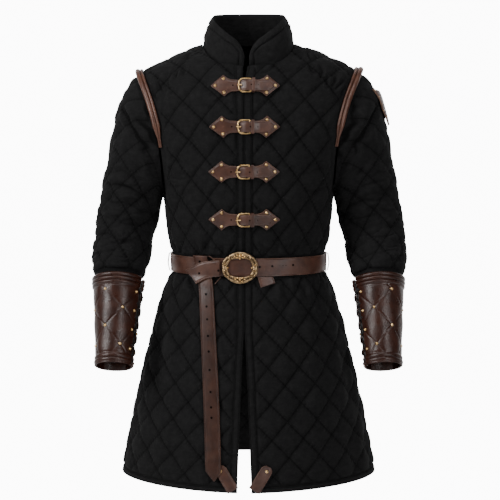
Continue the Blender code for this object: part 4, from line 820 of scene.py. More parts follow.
def tubeForm(points, radius, sides=12, closed=False, ridge=None):
    # A round section carried along a path, with its ends drawn in to a point.
    tangents, first, second = pathFrames(points, closed)
    radius = np.broadcast_to(np.asarray(radius, float), (len(points),))
    if not closed:
        fall, shrink = np.array([0.55, 0.85])[:, None], np.array([0.35, 0.78])
        lead = points[0] - tangents[0] * radius[0] * fall[::-1] * 0.6
        tail = points[-1] + tangents[-1] * radius[-1] * fall * 0.6
        points = chain(lead, points, tail)
        radius = chain(radius[0] * shrink, radius, radius[-1] * shrink[::-1])
        first, second = (np.pad(v, ((2, 2), (0, 0)), mode="edge") for v in (first, second))
    turn = roundTurns(sides)
    away = np.cos(turn)[None, :, None] * first[:, None] + np.sin(turn)[None, :, None] * second[:, None]
    size = radius[:, None] * (1.0 if ridge is None else ridge(np.arange(len(points))[:, None], turn[None, :]))
    return (points[:, None] + away * size[..., None]).reshape(-1, 3), tubeFaces(len(points), sides, closed)


def scatter(shape, faces, frames, sizes=1.0):
    # Copies of one small form, one in each frame. Its x goes along, and its z goes up the normal.
    origins, along, normal = (np.concatenate(parts) for parts in zip(*frames))
    axes = np.stack([along, np.cross(normal, along), normal], axis=1)
    points = origins[:, None] + np.einsum("pk,nkc->npc", shape, axes) * np.reshape(sizes, (-1, 1, 1))
    shift = (np.arange(len(origins)) * len(shape))[:, None, None]
    return points.reshape(-1, 3), [(group[None] + shift).reshape(-1, group.shape[1]) for group in faces]


def turnedForm(profile, sides):
    # A profile of (radius, height) rows turned round the z axis, with a flat foot and a closed top.
    radius, height = np.array(profile, float).T[..., None]
    turn = roundTurns(sides)
    skin = np.stack(np.broadcast_arrays(radius * np.cos(turn), radius * np.sin(turn), height), axis=-1)
    return skin.reshape(-1, 3), tubeFaces(len(profile), sides)


def frameAt(place, across, up, lift, way=(1.0, 0.0)):
    # Origins, directions and normals on a surface at pattern places.
    across, up = np.atleast_1d(across).astype(float), np.atleast_1d(up).astype(float)
    way = np.broadcast_to(np.asarray(way, float), (len(across), 2))
    origin = place(across, up, lift)
    normal = unit(place(across, up, lift + 0.001) - origin)
    along = place(across + way[:, 0] * 0.001, up + way[:, 1] * 0.001, lift) - origin
    along = unit(along - normal * np.sum(along * normal, axis=1, keepdims=True))
    return origin, along, normal


domeProfile = ((1.0, -0.25), (1.0, 0.1), (0.96, 0.2), (0.86, 0.25), (0.8, 0.36), (0.64, 0.62),
               (0.42, 0.8), (0.16, 0.88))
holeProfile = ((1.0, -0.3), (1.12, 0.02), (1.02, 0.13), (0.84, 0.06), (0.4, 0.02))
stitchForm = turnedForm(((0.4, -1.0), (1.0, -0.62), (1.0, 0.62), (0.4, 1.0)), 6)
stitchForm = (stitchForm[0][:, (2, 0, 1)] * (0.0015, 0.00036, 0.0003), stitchForm[1])
stitchPitch = 0.0044


def studs(name, frames, radius, look=brass, profile=domeProfile, sides=14, sizes=1.0):
    # A small turned form in each frame.
    shape, faces = turnedForm(profile, sides)
    return makePiece(name, *scatter(shape * radius, faces, frames, sizes), look, False, sharp=70)


def stitchFrames(place, path, lift):
    # Frames for stitches at an even pitch along a line of pattern places.
    run = runOf(place(path[:, 0], path[:, 1], lift))
    at = np.arange(stitchPitch / 2, run[-1], stitchPitch)
    spots, ahead, behind = (readLine(at + step, run, path) for step in (0, 0.0005, -0.0005))
    return frameAt(place, *spots.T, lift, unit(ahead - behind))


def quiltRow(up):
    # The diamonds counted upward, each row of them lower on the skirt than above it.
    above = (up - quilting["rowAt"]) / quilting["height"]
    bend = (quilting["skirtFrom"] - quilting["rowAt"]) / quilting["height"]
    return np.where(up > quilting["skirtFrom"], above,
                    bend + (up - quilting["skirtFrom"]) / quilting["skirtHeight"])


def quiltLift(a, b, seed):
    # The rise of quilted cloth. Channels run where a or b is whole. It climbs from each channel as
    # 1 - exp(-distance / channel), with a broad dome added, and short waves run across the channels.
    shape = quiltShape
    offA, offB = (np.abs(v - np.round(v)) * shape["spacing"] for v in (a, b))
    climb = (1 - np.exp(-offA / shape["channel"])) * (1 - np.exp(-offB / shape["channel"]))
    dome = np.abs(np.sin(math.pi * a) * np.sin(math.pi * b)) ** 0.7
    uneven = 1 + 0.10 * wander(a, b, 1.9, seed + 4)
    rise = cloth["quiltRise"] * ((1 - shape["dome"]) * climb + shape["dome"] * dome) * uneven
    for off, along, line in ((offA, b, np.round(a)), (offB, a, np.round(b))):
        phase = along * shape["alongUnit"] / shape["puckerPitch"] * 2 * math.pi
        phase = phase + 2.6 * wander(a, b, 1.1, seed) + line * 2.1
        strength = 0.55 + 0.45 * wander(a, b, 0.8, seed + 9)
        rise = rise + shape["pucker"] * np.sin(phase) * strength * bell(off, shape["puckerReach"])
    return rise


def nearLine(x, y, line):
    # The distance from each grid point to a line of pattern places.
    return np.min([besideLine(x, y, *ends)[1] for ends in zip(line[:-1], line[1:])], axis=0)


def evenLine(points, count):
    # A line of pattern places drawn again with evenly spaced points.
    run = runOf(points)
    return readLine(np.linspace(0, run[-1], count), run, points)


def patch(bottom, top, left, right):
    # A grid filled in between four lines of points that meet at its corners.
    s, t = np.linspace(0, 1, len(bottom))[None, :, None], np.linspace(0, 1, len(left))[:, None, None]
    sides = (1 - t) * bottom[None] + t * top[None] + (1 - s) * left[:, None] + s * right[:, None]
    return sides - ((1 - s) * ((1 - t) * bottom[0] + t * top[0]) + s * ((1 - t) * bottom[-1] + t * top[-1]))


# Folds on the fronts and back, in pattern places: from and to in millimetres, and the half width
# and depth in tenths of one. The chest's sides pucker under the arms, the shoulders crease by the
# collar, and soft pleats meet the belt.
foldUnits = (1000, 1000, 1000, 1000, 10000, 10000)
frontFolds = {side: np.array(rows) / foldUnits for side, rows in {
    1: (
        (172, -232, 128, -250, 70, 24), (176, -254, 118, -262, 75, 26), (172, -276, 132, -280, 65, 21),
        (176, -298, 112, -292, 80, 28), (170, -322, 128, -312, 70, 19), (166, -345, 136, -330, 70, 15),
        (186, -82, 174, -118, 34, 40), (169, -70, 160, -101, 36, 38), (155, -60, 154, -99, 32, 36),
        (136, -62, 144, -88, 34, 32), (126, -40, 121, -72, 32, 34), (104, -40, 112, -60, 34, 36),
        (180, -120, 171, -150, 34, 32), (100, 4, 108, -24, 34, 34), (62, -396, 58, -431, 70, 24),
        (92, -386, 84, -431, 75, 26), (120, -392, 110, -430, 70, 23), (34, -404, 34, -431, 60, 16),
        (70, -476, 82, -540, 80, 30), (104, -476, 124, -532, 85, 32), (136, -476, 160, -555, 90, 28),
        (38, -478, 44, -520, 70, 18), (150, -560, 190, -700, 140, 30), (205, -600, 255, -770, 150, 28),
        (95, -640, 112, -790, 150, 22), (290, -760, 310, -890, 150, 26),
        (160, -780, 176, -892, 150, 22), (235, -800, 246, -892, 130, 20),
    ),
    -1: (
        (170, -228, 122, -244, 75, 25), (174, -250, 130, -262, 65, 21), (176, -270, 112, -272, 80, 28),
        (172, -296, 126, -286, 70, 23), (174, -316, 116, -306, 70, 24), (166, -340, 132, -326, 70, 16),
        (182, -87, 168, -114, 34, 40), (165, -62, 160, -109, 36, 44), (151, -69, 156, -107, 34, 36),
        (141, -58, 147, -93, 32, 30), (122, -44, 125, -69, 34, 38), (110, -43, 110, -65, 32, 34),
        (177, -113, 175, -145, 34, 34), (96, 6, 104, -20, 34, 32), (56, -400, 52, -431, 65, 22),
        (84, -390, 78, -431, 75, 27), (112, -384, 104, -430, 75, 24), (138, -400, 128, -431, 65, 18),
        (112, -476, 130, -548, 85, 32), (142, -476, 164, -540, 85, 29), (48, -478, 50, -515, 70, 18),
        (126, -560, 150, -690, 140, 26), (185, -580, 232, -730, 150, 32),
        (262, -700, 292, -850, 160, 26), (70, -690, 78, -800, 140, 18), (150, -760, 162, -892, 150, 24),
        (215, -790, 226, -890, 130, 21),
    ),
}.items()}
backFolds = np.array((
    (165, -235, 120, -250, 75, 25), (168, -262, 112, -270, 80, 27), (165, -292, 118, -290, 70, 22),
    (160, -322, 120, -312, 70, 18), (-168, -230, -116, -252, 80, 26), (-165, -256, -124, -262, 65, 21),
    (-168, -284, -108, -280, 80, 28), (-160, -316, -118, -304, 70, 19), (124, 12, 122, -52, 65, 18),
    (-130, 10, -124, -60, 65, 19), (158, 2, 166, -60, 65, 19), (-164, 0, -174, -56, 65, 17),
    (20, -390, 18, -431, 75, 24), (56, -384, 50, -431, 75, 27), (96, -392, 88, -431, 70, 24),
    (128, -400, 118, -431, 70, 19), (-32, -386, -28, -431, 75, 26), (-72, -392, -64, -431, 70, 23),
    (-108, -384, -98, -431, 75, 25), (-136, -404, -128, -431, 60, 18), (10, -476, 12, -560, 95, 30),
    (52, -476, 64, -545, 85, 30), (92, -476, 112, -565, 95, 32), (130, -476, 152, -540, 85, 26),
    (-36, -476, -44, -548, 85, 28), (-78, -476, -96, -560, 95, 32), (-120, -476, -142, -545, 85, 29),
    (0, -600, 4, -800, 170, 34), (120, -600, 150, -790, 160, 32), (-110, -590, -140, -770, 160, 34),
    (220, -660, 270, -840, 160, 28), (-215, -640, -262, -820, 160, 29), (70, -740, 82, -892, 160, 26),
    (-60, -720, -72, -892, 160, 26), (180, -780, 196, -892, 150, 22), (-186, -770, -200, -892, 150, 22),
)) / foldUnits

# A slanting seam on each front, just below the collar
collarSeams = {
    -1: ((-0.0531, -0.0405), (-0.0416, -0.0545), (-0.026, -0.0665)),
    1: ((0.0463, -0.0375), (0.0399, -0.0523), (0.025, -0.065)),
}
closures = {
    "heights": (-0.09, -0.17, -0.259, -0.3545),
    "across": (0.003, 0.0012, -0.0005, 0.0),
    "sizes": (0.845, 0.94, 1.0, 1.0),
    "sinks": (0.0, 0.0, 0.0008, 0.0),
    "buckleHalf": 0.013, "wire": 0.00145, "bar": 0.0098, "bow": -0.0042, "bowDepth": 0.009,
    "keeper": (0.0125, 0.0195), "keeperThick": 0.0015, "keeperBend": 0.0012,
    "holes": (-0.0252, 0.0108, 0.0255), "hole": 0.0014,
    "rivets": ((0.044, 0.014), (0.044, -0.014), (0.0612, 0.0)), "rivet": 0.0033,
}
closureUp = [float(bodyPlace(np.array([closureX + x]), np.array([z]), -1)[1][0])
             for x, z in zip(closures["across"], closures["heights"])]


def strapRelief(across, up, lift):
    # Cloth under a strap, tab or the belt's loose end is pressed down.
    def near(values, middle, reach, soft=0.006):
        return eased(reach - np.abs(values - middle), 0, soft)

    tail = closureX + np.interp(up, belting["tail"]["height"], belting["tail"]["across"])
    spots = [near(up, spot, 0.03) * near(across, closureX, 0.078) for spot in closureUp]
    spots += [near(across, tail, 0.023) * eased(-up, 0.46, 0.47),
              near(across, closureX + 0.044, 0.024, 0.005) * eased(up, -0.506, -0.498)]
    spots += [near(across, closureX + hemShift[side] + side * 0.035, 0.032) * eased(-up, 0.83, 0.842)
              for side in (1, -1)]
    return lift + (np.minimum(lift, quiltShape["pressed"]) - lift) * np.max(spots, axis=0)


belting = {
    "ring": {"centre": -0.008, "halfWidth": 0.0356, "halfHeight": 0.0358, "band": 0.0125,
             "bandUp": 0.016, "thick": 0.0055},
    "tail": table("height across halfWidth lift", (
        (-0.879, -0.0585, 0.001, onStrap), (-0.86, -0.06, 0.0155, onStrap),
        (-0.844, -0.0608, 0.016, onStrap), (-0.8, -0.0625, 0.016, onCloth),
        (-0.74, -0.0645, 0.016, onCloth), (-0.68, -0.067, 0.0158, onCloth),
        (-0.62, -0.07, 0.0156, onCloth), (-0.56, -0.073, 0.0152, onCloth),
        (-0.52, -0.075, 0.015, onCloth), (-0.496, -0.0767, 0.015, onCloth + 0.0006),
        (-0.486, -0.0777, 0.0151, onBelt - 0.0008), (-0.477, -0.079, 0.0153, onBelt),
        (-0.465, -0.0808, 0.0156, onBelt), (-0.448, -0.084, 0.016, onBelt),
        (-0.433, -0.087, 0.016, onBelt), (-0.429, -0.0875, 0.016, onBelt - 0.001),
    )),
    "band": table("across top bottom", (
        (-0.0465, -0.4375, -0.4735), (-0.06, -0.4395, -0.4765), (-0.074, -0.4415, -0.482),
        (-0.086, -0.4455, -0.489), (-0.095, -0.45, -0.4935), (-0.106, -0.456, -0.479),
        (-0.118, -0.4612, -0.4624),
    )),
    "holes": ((0.0303, 0.0013), (0.0549, 0.0025), (0.0974, 0.0033)),
    "smallHoles": ((0.0702, 0.0034), (0.0763, 0.0032), (0.0824, 0.003)),
    "tailHoles": (-0.5113, -0.5344, -0.5596, -0.5923, -0.6231, -0.6594, -0.7029, -0.7332, -0.7537),
    "foldHoles": ((-0.087, 0.0106),), "bandHoles": ((-0.0866, -0.0134), (-0.0483, -0.0052)),
    "hole": 0.0021,
    "tab": (((0.026, 0.029, 0.0328), (-0.474, -0.485, -0.496)),
            ((0.0568, 0.0592, 0.0614), (-0.4738, -0.4812, -0.4882))),
}


def bodyGrid(facing, columns, rows, side):
    # Pattern places of a panel: level rows up to the armpit, and above it a patch that ends at
    # the neckline and the shoulder seam. Half a back is made as a front, and then mirrored.
    low, high = rows
    up = np.linspace(levels["hem"], levels["armpit"], low)
    outer = sideLength(up, facing) - cloth["sewn"]
    inner = side * frontEdge(up, side) if facing < 0 else np.zeros(low)
    part = np.linspace(0, 1, columns)
    lower = pairs(inner[:, None] + (outer - inner)[:, None] * part, up[:, None])
    start = 0.0
    if facing < 0:
        trial = np.linspace(-0.3, 0.3, 61)
        reach, height = neckline(trial, facing)
        start = np.interp(side * frontEdge(height[30:31], side), reach, trial)[0]
    neck = pairs(*neckline(np.linspace(start, math.pi / 2, 60), facing))
    arm = pairs(*armhole(np.linspace(0, math.pi, 90), facing))[::-1]
    corner = int(round(columns * 0.47))
    across = np.linspace(neck[-1, 0], arm[-1, 0], columns - corner)
    shoulder = pairs(across, shoulderUp(across, facing) - cloth["sewn"])
    neck[-1] = shoulder[0]
    arm[-1], arm[0] = shoulder[-1], lower[-1, -1]
    top = chain(evenLine(neck, corner + 1)[:-1], shoulder)
    top[0, 1] -= 0.0004
    climb = np.linspace(levels["armpit"], top[0, 1], high)
    edge = pairs(side * frontEdge(climb, side) if facing < 0 else 0.0, climb)
    edge[0] = lower[-1, 0]
    upper = patch(lower[-1], top, edge, evenLine(arm, high))
    return chain(lower, upper[1:])


def quiltMask(across, up, facing):
    # The quilting lies flat under the belt and beside the armhole seam.
    seam = pairs(*armhole(np.linspace(0, math.pi, 31), facing))
    off = nearLine(np.abs(across), up, seam)
    return eased(np.abs(up - levels["waist"]), beltHalf + 0.0015, beltHalf + 0.0085) * eased(off, 0.013, 0.026)


def beltPleats(across, up, seed):
    # Small upright pleats where the belt draws the cloth in, fading out above and below it.
    off = np.abs(up - levels["waist"]) - beltHalf
    fade = eased(off, 0.0005, 0.006) * (1 - eased(off, 0.012, 0.055))
    waves = np.sin(across / 0.0205 * 2 * math.pi + 2.2 * wander(across, up, 0.11, seed))
    return 0.0013 * waves * fade * (0.6 + 0.4 * wander(across, up, 0.16, seed + 5))


def makeBodyPanel(name, facing, side, seed):
    # A front or the back: the inner surface, and outside it the cloth's wall with its diamonds,
    # less its folds and pleats. Diamonds are counted from the closure's edge or from the middle.
    half = bodyGrid(facing, 107 if facing < 0 else 97, (248, 126), side)
    if facing < 0:
        grid = half * (side, 1)
        edge, start = frontEdge(np.minimum(grid[..., 1], neckSlitFrom), side), quilting["frontStart"]
        seam = collarSeams[side]
        rows = [*(frontFolds[side] * (side, 1, side, 1, 1, 1))]
        rows += [(*p, *q, 0.0026, 0.0022) for p, q in zip(seam[:-1], seam[1:])]
    else:
        grid = np.concatenate([half[:, :0:-1] * (-1, 1), half], axis=1)
        edge, start, rows = 0.0, 0.0, backFolds
    across, up = np.moveaxis(grid, -1, 0)
    width = bodyColumn("quiltWidth", np.minimum(up, levels["chest"]))
    column = side * (across - edge) / width - start / 2
    a, b = column + quiltRow(up), column - quiltRow(up)
    flat = quiltMask(across, up, facing) * eased(up, levels["hem"] + hemBand, levels["hem"] + hemBand + 0.007)
    if facing < 0:
        flat = flat * eased(side * (across - edge), placketWidth, placketWidth + 0.007)
    lift = quiltLift(a, b, seed) * flat + quiltShape["ripple"] * wander(across, up, 0.075, seed + 2) * flat
    sink = folds(across, up, rows) * np.clip(flat, 0.25, 1) - beltPleats(across, up, seed)
    lift = np.clip(lift - sink * flat**0.5, -0.0016, 0.007)
    if facing < 0:
        lift = strapRelief(across, up, lift + cloth["wall"]) - cloth["wall"]
    base = body(across.ravel(), up.ravel(), facing).reshape(across.shape + (3,))
    normals = gridNormals(base)
    outer = base + normals * (cloth["wall"] + lift)[..., None]
    return quiltedShell(name, outer, base, pairs(a, b), grid, flat, foldShadeMask(across, up, rows))


sheets = {}
for name, facing, side, seed in (("front_right", -1, -1, 10), ("front_left", -1, 1, 12), ("back", 1, 1, 21)):
    sheets[name] = makeBodyPanel(name, facing, side, seed)
print("stage: fronts and back,", made["triangles"], "triangles so far")


sleeveShape = {
    "puff": 0.8, "crinkle": 0.0022, "bunch": 0.0032, "capGap": 0.0034, "underarmGap": 0.005,
    "end": -0.012, "reach": 0.38, "liningEnd": -0.163, "liningGap": 0.0006,
}

# A sleeve's finer folds: turns in degrees, heights in millimetres, and tenths of one
sleeveCreases = {side: np.array(rows) / (1, 1000, 1, 1000, 10000, 10000) for side, rows in {
    1: (
        (40, 400, 84, 326, 46, 44), (72, 337, 118, 262, 76, 84), (36, 360, 90, 280, 48, 62),
        (76, 300, 114, 250, 60, 60), (20, 232, 100, 196, 70, 28), (35, 205, 128, 176, 75, 32),
        (28, 180, 110, 160, 65, 27), (48, 160, 150, 146, 75, 34), (22, 142, 98, 130, 70, 28),
        (54, 126, 142, 118, 70, 30), (18, 110, 92, 88, 75, 26), (60, 82, 130, 74, 65, 26),
        (12, 70, 84, 52, 70, 22), (70, 44, 140, 34, 65, 24), (15, 36, 75, 24, 60, 18),
        (64, 330, 88, 262, 80, 26), (36, 318, 66, 258, 85, 22), (96, 262, 138, 214, 80, 30),
        (80, 238, 126, 206, 70, 24), (20, 345, 34, 292, 85, 18), (-30, 222, -105, 190, 75, 28),
        (-45, 188, -128, 166, 75, 30), (-25, 160, -100, 142, 70, 26), (-52, 136, -140, 118, 75, 30),
        (-20, 108, -90, 92, 70, 24), (-58, 66, -132, 56, 65, 24), (-16, 50, -70, 36, 65, 20),
        (-60, 300, -90, 236, 85, 26), (150, 168, 178, 160, 65, 20), (-150, 150, -178, 138, 65, 20),
    ),
    -1: (
        (42, 398, 86, 328, 48, 48), (70, 342, 119, 264, 78, 88), (36, 363, 92, 281, 50, 68),
        (74, 306, 115, 252, 62, 64), (26, 226, 112, 200, 75, 30), (18, 198, 96, 176, 65, 26),
        (50, 186, 146, 164, 75, 34), (24, 162, 104, 146, 70, 30), (58, 144, 150, 136, 70, 30),
        (20, 128, 90, 112, 70, 26), (46, 108, 136, 102, 75, 31), (16, 92, 88, 72, 70, 24),
        (62, 66, 134, 60, 65, 26), (10, 54, 80, 38, 65, 22), (56, 32, 128, 24, 60, 20),
        (60, 334, 92, 268, 85, 27), (32, 326, 58, 266, 80, 20), (100, 256, 140, 204, 80, 28),
        (76, 246, 120, 214, 70, 24), (12, 340, 26, 284, 85, 18), (-34, 214, -110, 184, 75, 28),
        (-22, 186, -98, 164, 65, 24), (-50, 156, -136, 140, 75, 30), (-24, 126, -102, 112, 70, 28),
        (-50, 96, -128, 84, 70, 26), (-18, 74, -80, 56, 65, 22), (-60, 44, -124, 34, 65, 22),
        (-56, 310, -88, 244, 85, 26), (152, 180, 178, 170, 65, 20), (-152, 134, -178, 124, 65, 20),
    ),
}.items()}


def makeSleeve(name, side, seed):
    # turn runs right round from one side of the inner seam to the other, and high runs from just
    # inside the cuff up to the armhole seam.
    shape, columns, rows = sleeveShape, 145, 195
    seamTurn = math.pi - cloth["sewn"] / 0.05
    turns = np.linspace(-seamTurn, seamTurn, columns)
    cap = sleeveCap(turns) - shape["capGap"] - shape["underarmGap"] * (1 - np.cos(turns)) / 2
    high = shape["end"] + (cap - shape["end"])[None, :] * np.linspace(0, 1, rows)[:, None]
    turn = np.broadcast_to(turns, high.shape)
    radius = shape["reach"] / (2 * math.pi)
    width = shape["reach"] / quilting["sleeveDiamonds"]
    column, row = turn * radius / width, high / quilting["sleeveHeight"] - 0.25
    a, b = column + row, column - row
    flat = eased(high, 0.004, 0.016) * eased(cap[None, :] - high, 0.002, 0.014)
    creases = [(math.radians(t0) * radius, h0, math.radians(t1) * radius, h1, w, d)
               for t0, h0, t1, h1, w, d in sleeveCreases[side]]
    sink = folds(turn * radius, high, creases)
    fine = 0.0008 * wander(turn * radius, high * 2.4, 0.085, seed)
    # Level crinkles at the elbow: thin valleys where a wavy field changes sign
    field = wander(turn * radius * 0.9, high * 3.4, 0.08, seed + 3)
    strength = eased(high, 0.01, 0.03) * (1 - eased(high, 0.15, 0.23)) * (0.6 + 0.4 * np.cos(turn - 0.9))
    sink = sink + shape["crinkle"] * strength * (bell(field, 0.26) - 0.3)
    lift = np.clip((shape["puff"] * quiltLift(a, b, seed) + fine - sink) * flat, -0.0022, 0.007)
    # The padding bunches up along the inner side of the arm
    bunched = eased(np.abs(turn), math.radians(120), math.radians(165)) * eased(high, 0.01, 0.06)
    bunched = bunched * (1 + 1.1 * eased(high, 0.15, 0.21)) * eased(cap[None, :] - high, -0.004, 0.001)
    lift = lift + shape["bunch"] * bunched
    if side > 0:
        shield = eased(0.030 - np.abs(turn - math.radians(6)) * 0.075, 0, 0.006) * eased(high, 0.3, 0.31)
        lift = lift + (np.minimum(lift, quiltShape["pressed"] - cloth["wall"]) - lift) * shield
    base = sleeveRaw(turn.ravel(), high.ravel()).reshape(high.shape + (3,))
    normals = gridNormals(base)
    base = base - normals * sleeveSink(turn.ravel(), high.ravel()).reshape(high.shape)[..., None]
    outer = base + normals * (cloth["wall"] + lift)[..., None]
    return quiltedShell(name, outer * mirror[side], base * mirror[side], pairs(a, b),
                        pairs(turn * radius, high), flat, foldShadeMask(turn * radius, high, creases))


def makeLining(name, side):
    # The plain lining that goes on from a sleeve's end down the inside of its cuff.
    turns = np.linspace(-math.pi, math.pi, 73)[:-1]
    high = np.linspace(sleeveShape["liningEnd"], sleeveShape["end"] - sleeveShape["liningGap"], 24)
    turn, along = np.meshgrid(turns, high, indexing="ij")
    soft = 0.0004 * wander(turn * 0.04, along, 0.03, 3)
    skins = [onSleeve(side)(turn, along, lift) for lift in (0.0 * soft, cloth["wall"] + soft)]
    loop = np.concatenate([skins[0], skins[1][:, ::-1]], axis=1)
    return makePiece(name, loop, tubeFaces(*loop.shape[:2], True), plainCloth, laid={"metric": loop[..., :2]})


for side, word in sideNames:
    sheets["sleeve_" + word] = makeSleeve("sleeve_" + word, side, 31 + side)
    sheets["cuff_lining_" + word] = makeLining("cuff_lining_" + word, side)
print("stage: sleeves,", made["triangles"], "triangles so far")


stitchLines = []
onBand = cloth["wall"] + cloth["bandLift"]


def bandStitches(place, line, lift=onBand + cloth["bandThick"] - 0.0001):
    # Stitches along a line, on top of a band unless a lift is given.
    stitchLines.append(stitchFrames(place, line, lift))


def clothBand(name, place, low, high, parts, trim):
    # An edge band with a pressed stitch line along both its sides, and small puckers between them.
    # The stitches run at parts of its width, and stop short of its ends.
    def soft(across, up):
        return 0.00030 * wander(across, up, 0.016, 5) + 0.00025 * wander(across, up, 0.04, 7)

    sheets[name] = strip(name, place, low, high, onBand, cloth["bandThick"], plainCloth, middle=5, crease=0.34,
                         crown=0.1, extra=soft)
    for part in parts:
        bandStitches(place, (low * (1 - part) + high * part)[trim:-trim])


def makeHemBand(name, facing, side, start, gap):
    # A level band along the hem, from a place to a gap before the side seam. Its upper edge is
    # shorter, as the skirt is.
    bottom, upper = levels["hem"] + 0.0003, levels["hem"] + hemBand
    reach = sideLength(np.array([bottom, upper]), facing)
    end = reach[0] - gap
    along = side * stations(np.array([-end if start is None else start, end]), 0.0042)
    low, high = pairs(along, bottom), pairs(along * reach[1] / reach[0], upper)
    clothBand(name, onSide[facing], low, high, (0.22, 0.78), 3)


for side, word in sideNames:
    top = neckline(np.array([0.0]), -1)[1][0] - 0.0022
    up = stations(np.array([levels["hem"] + 0.0003, top]), 0.004)
    edges = [pairs(frontEdge(up, side) + side * x, up) for x in (0.0, placketWidth)]
    clothBand("placket_" + word, front, *edges, [x / placketWidth for x in (0.0027, placketWidth - 0.0027)], 4)
    makeHemBand("hem_band_" + word, -1, side, side * edges[1][0, 0] + 0.0006, cloth["seam"] + 0.0004)
makeHemBand("hem_band_back", 1, 1, None, 0.0007)


collarTop = table("turn halfWidthPart frontPart height", (
    (0, 880, 930, -300), (15, 880, 930, -220), (50, 875, 925, -110), (110, 870, 920, -5),
    (240, 860, 900, 125), (440, 850, 880, 295), (660, 840, 900, 455), (900, 835, 950, 545),
    (1300, 840, 940, 600), (1800, 850, 950, 620),
), (10, 1000, 1000, 10000))
collarShape = {
    "starts": (5.8, 0.7),     # degrees from the middle to the right and the left front end
    "border": 0.0145,         # from the top and front edges to their stitch line
    "groove": 0.0034, "soft": 0.0008,
    "rise": table("part outer inner", (
        (0.0, 0.0, 0.55), (0.25, 0.0, 0.82), (0.45, 0.0, 1.0), (0.7, 0.0, 1.0), (0.86, 0.0002, 0.95),
        (0.94, 0.0008, 0.86), (1.0, 0.0026, 0.64),
    )),
}


def collarHalf(side, start):
    # Half of the collar: its outer and inner points, each turn from the front end to the back.
    degrees = chain(start + np.linspace(0, 1.2, 6)[:-1], np.linspace(start + 1.2, 90, 78),
                    np.linspace(91, 180, 70))
    turn = np.radians(degrees)
    isFront = turn <= math.pi / 2 + 1e-6
    fold = np.where(isFront, turn, math.pi - turn)
    placed = {facing: neckline(fold, facing) for facing in (-1, 1)}
    base = np.where(isFront[:, None], *(onSide[f](*placed[f], cloth["wall"]) for f in (-1, 1)))
    base[:, 2] -= 0.0016
    inward = unit(np.stack([-base[:, 0], -base[:, 1] * 1.2, np.zeros(len(base))], -1))
    base = base + inward * 0.0009
    wide, fore, height = (smoothColumn(at, collarTop["turn"], collarTop[key]) for at, key in (
        (degrees, "halfWidthPart"), (degrees, "frontPart"), (degrees - start, "height")))
    top = np.stack([base[:, 0] * wide, base[:, 1] * fore, height], axis=-1)
    rise = chain(np.linspace(0, 0.9, 27)[:-1], np.linspace(0.9, 1, 6))
    part = rise[None, :, None]
    middle = base[:, None] * (1 - part) + top[:, None] * part
    middle = middle - inward[:, None] * cloth["collarBulge"] * np.sin(math.pi * part)
    height = np.linalg.norm(top - base, axis=1)[:, None]
    run = runOf((base + top) / 2)[:, None]
    # The border is a rounded corner of the distances from the front end and from the top
    fromTop, high = height * (1 - rise), height * rise
    corner = 0.016
    near = np.clip(corner - np.stack(np.broadcast_arrays(fromTop, run)), 0, None)
    fromEdge = np.where((near > 0).all(axis=0), corner - np.hypot(*near), np.minimum(fromTop, run))
    shape = collarShape
    off = (fromEdge - shape["border"]) / 0.0021
    groove = np.exp(-off**2) * eased(high, 0.0, 0.004)
    foot = bell(high, 0.004)
    soft = wander(run * side, high * 1.6, 0.045, 6)
    pinch = np.sin(run / 0.0105 * 2 * math.pi + 2.5 * wander(run, rise * 0.05, 0.09, 2))
    pinch = pinch * bell(fromEdge - shape["border"], 0.0085) * (0.6 + 0.4 * soft)
    relief = shape["soft"] * soft + 0.0007 * pinch - shape["groove"] * groove - 0.0012 * foot
    end = 1 - np.exp(-(run + 0.0003) / 0.0014)
    outward, deep = (np.interp(rise, shape["rise"]["part"], shape["rise"][key]) for key in ("outer", "inner"))
    outward = outward + (1 - end) * 0.0022
    deep = cloth["collarThick"] * deep - (1 - end) * 0.0016 + 0.4 * shape["soft"] * soft
    outer = middle + inward[:, None] * (outward - relief)[..., None]
    inner = middle + inward[:, None] * deep[..., None]
    lip = (outer[:, -1:] + inner[:, -1:]) / 2 + unit(top - base)[:, None] * 0.0016
    trace = [np.argmin(np.abs(fromEdge - shape["border"]) + 9 * (fromEdge < 0.004), axis=1), outer, run[:, 0]]
    loop = np.concatenate([outer, lip, inner[:, ::-1]], axis=1)
    return loop * mirror[side], trace, -inward * mirror[side], run[:, 0] * side


def collarStitches(side, trace, away):
    # Stitches in the border's groove: up the front end and then round below the top edge.
    row, outer, run = trace
    begin = int(np.argmin(np.abs(run - collarShape["border"])))
    up, after = np.arange(3, row[begin] - 3), np.arange(begin + 4, len(run))
    line = chain(outer[begin, up], outer[after, row[after]]) * mirror[side]
    out = chain(np.repeat(away[begin:begin + 1], len(up), 0), away[after])
    along = runOf(line)
    at = np.arange(0.002, along[-1], stitchPitch)
    origin, ahead = (readLine(at + step, along, line) for step in (0, 0.001))
    normal = unit(readLine(at, along, out))
    way = unit(ahead - origin + 1e-9)
    way = unit(way - normal * np.sum(way * normal, axis=1, keepdims=True))
    stitchLines.append((origin + normal * 0.0001, way, normal))


def makeCollar():
    # A padded stand collar with a rolled edge. A stitched groove runs inside its top and front edges.
    loops, runs = [], []
    for (side, word), start in zip(sideNames, collarShape["starts"]):
        loop, trace, away, run = collarHalf(side, start)
        collarStitches(side, trace, away)
        loops.append(loop)
        runs.append(run)
    whole, run = (chain(right, left[:-1][::-1]) for right, left in (loops, runs))
    count, columns = whole.shape[:2]
    metric = pairs(run[:, None], np.arange(columns) * 0.003)
    return makePiece("collar", whole, tubeFaces(count, columns), plainCloth, laid={"metric": metric}, sharp=70)


sheets["collar"] = makeCollar()
for side, line in collarSeams.items():
    bandStitches(front, evenLine(np.array(line), 30), cloth["wall"] + 0.0026)
print("stage: bands and collar,", made["triangles"], "triangles so far")


piping = {"roll": 0.005, "bead": 0.0028, "end": math.radians(106), "stations": 180}


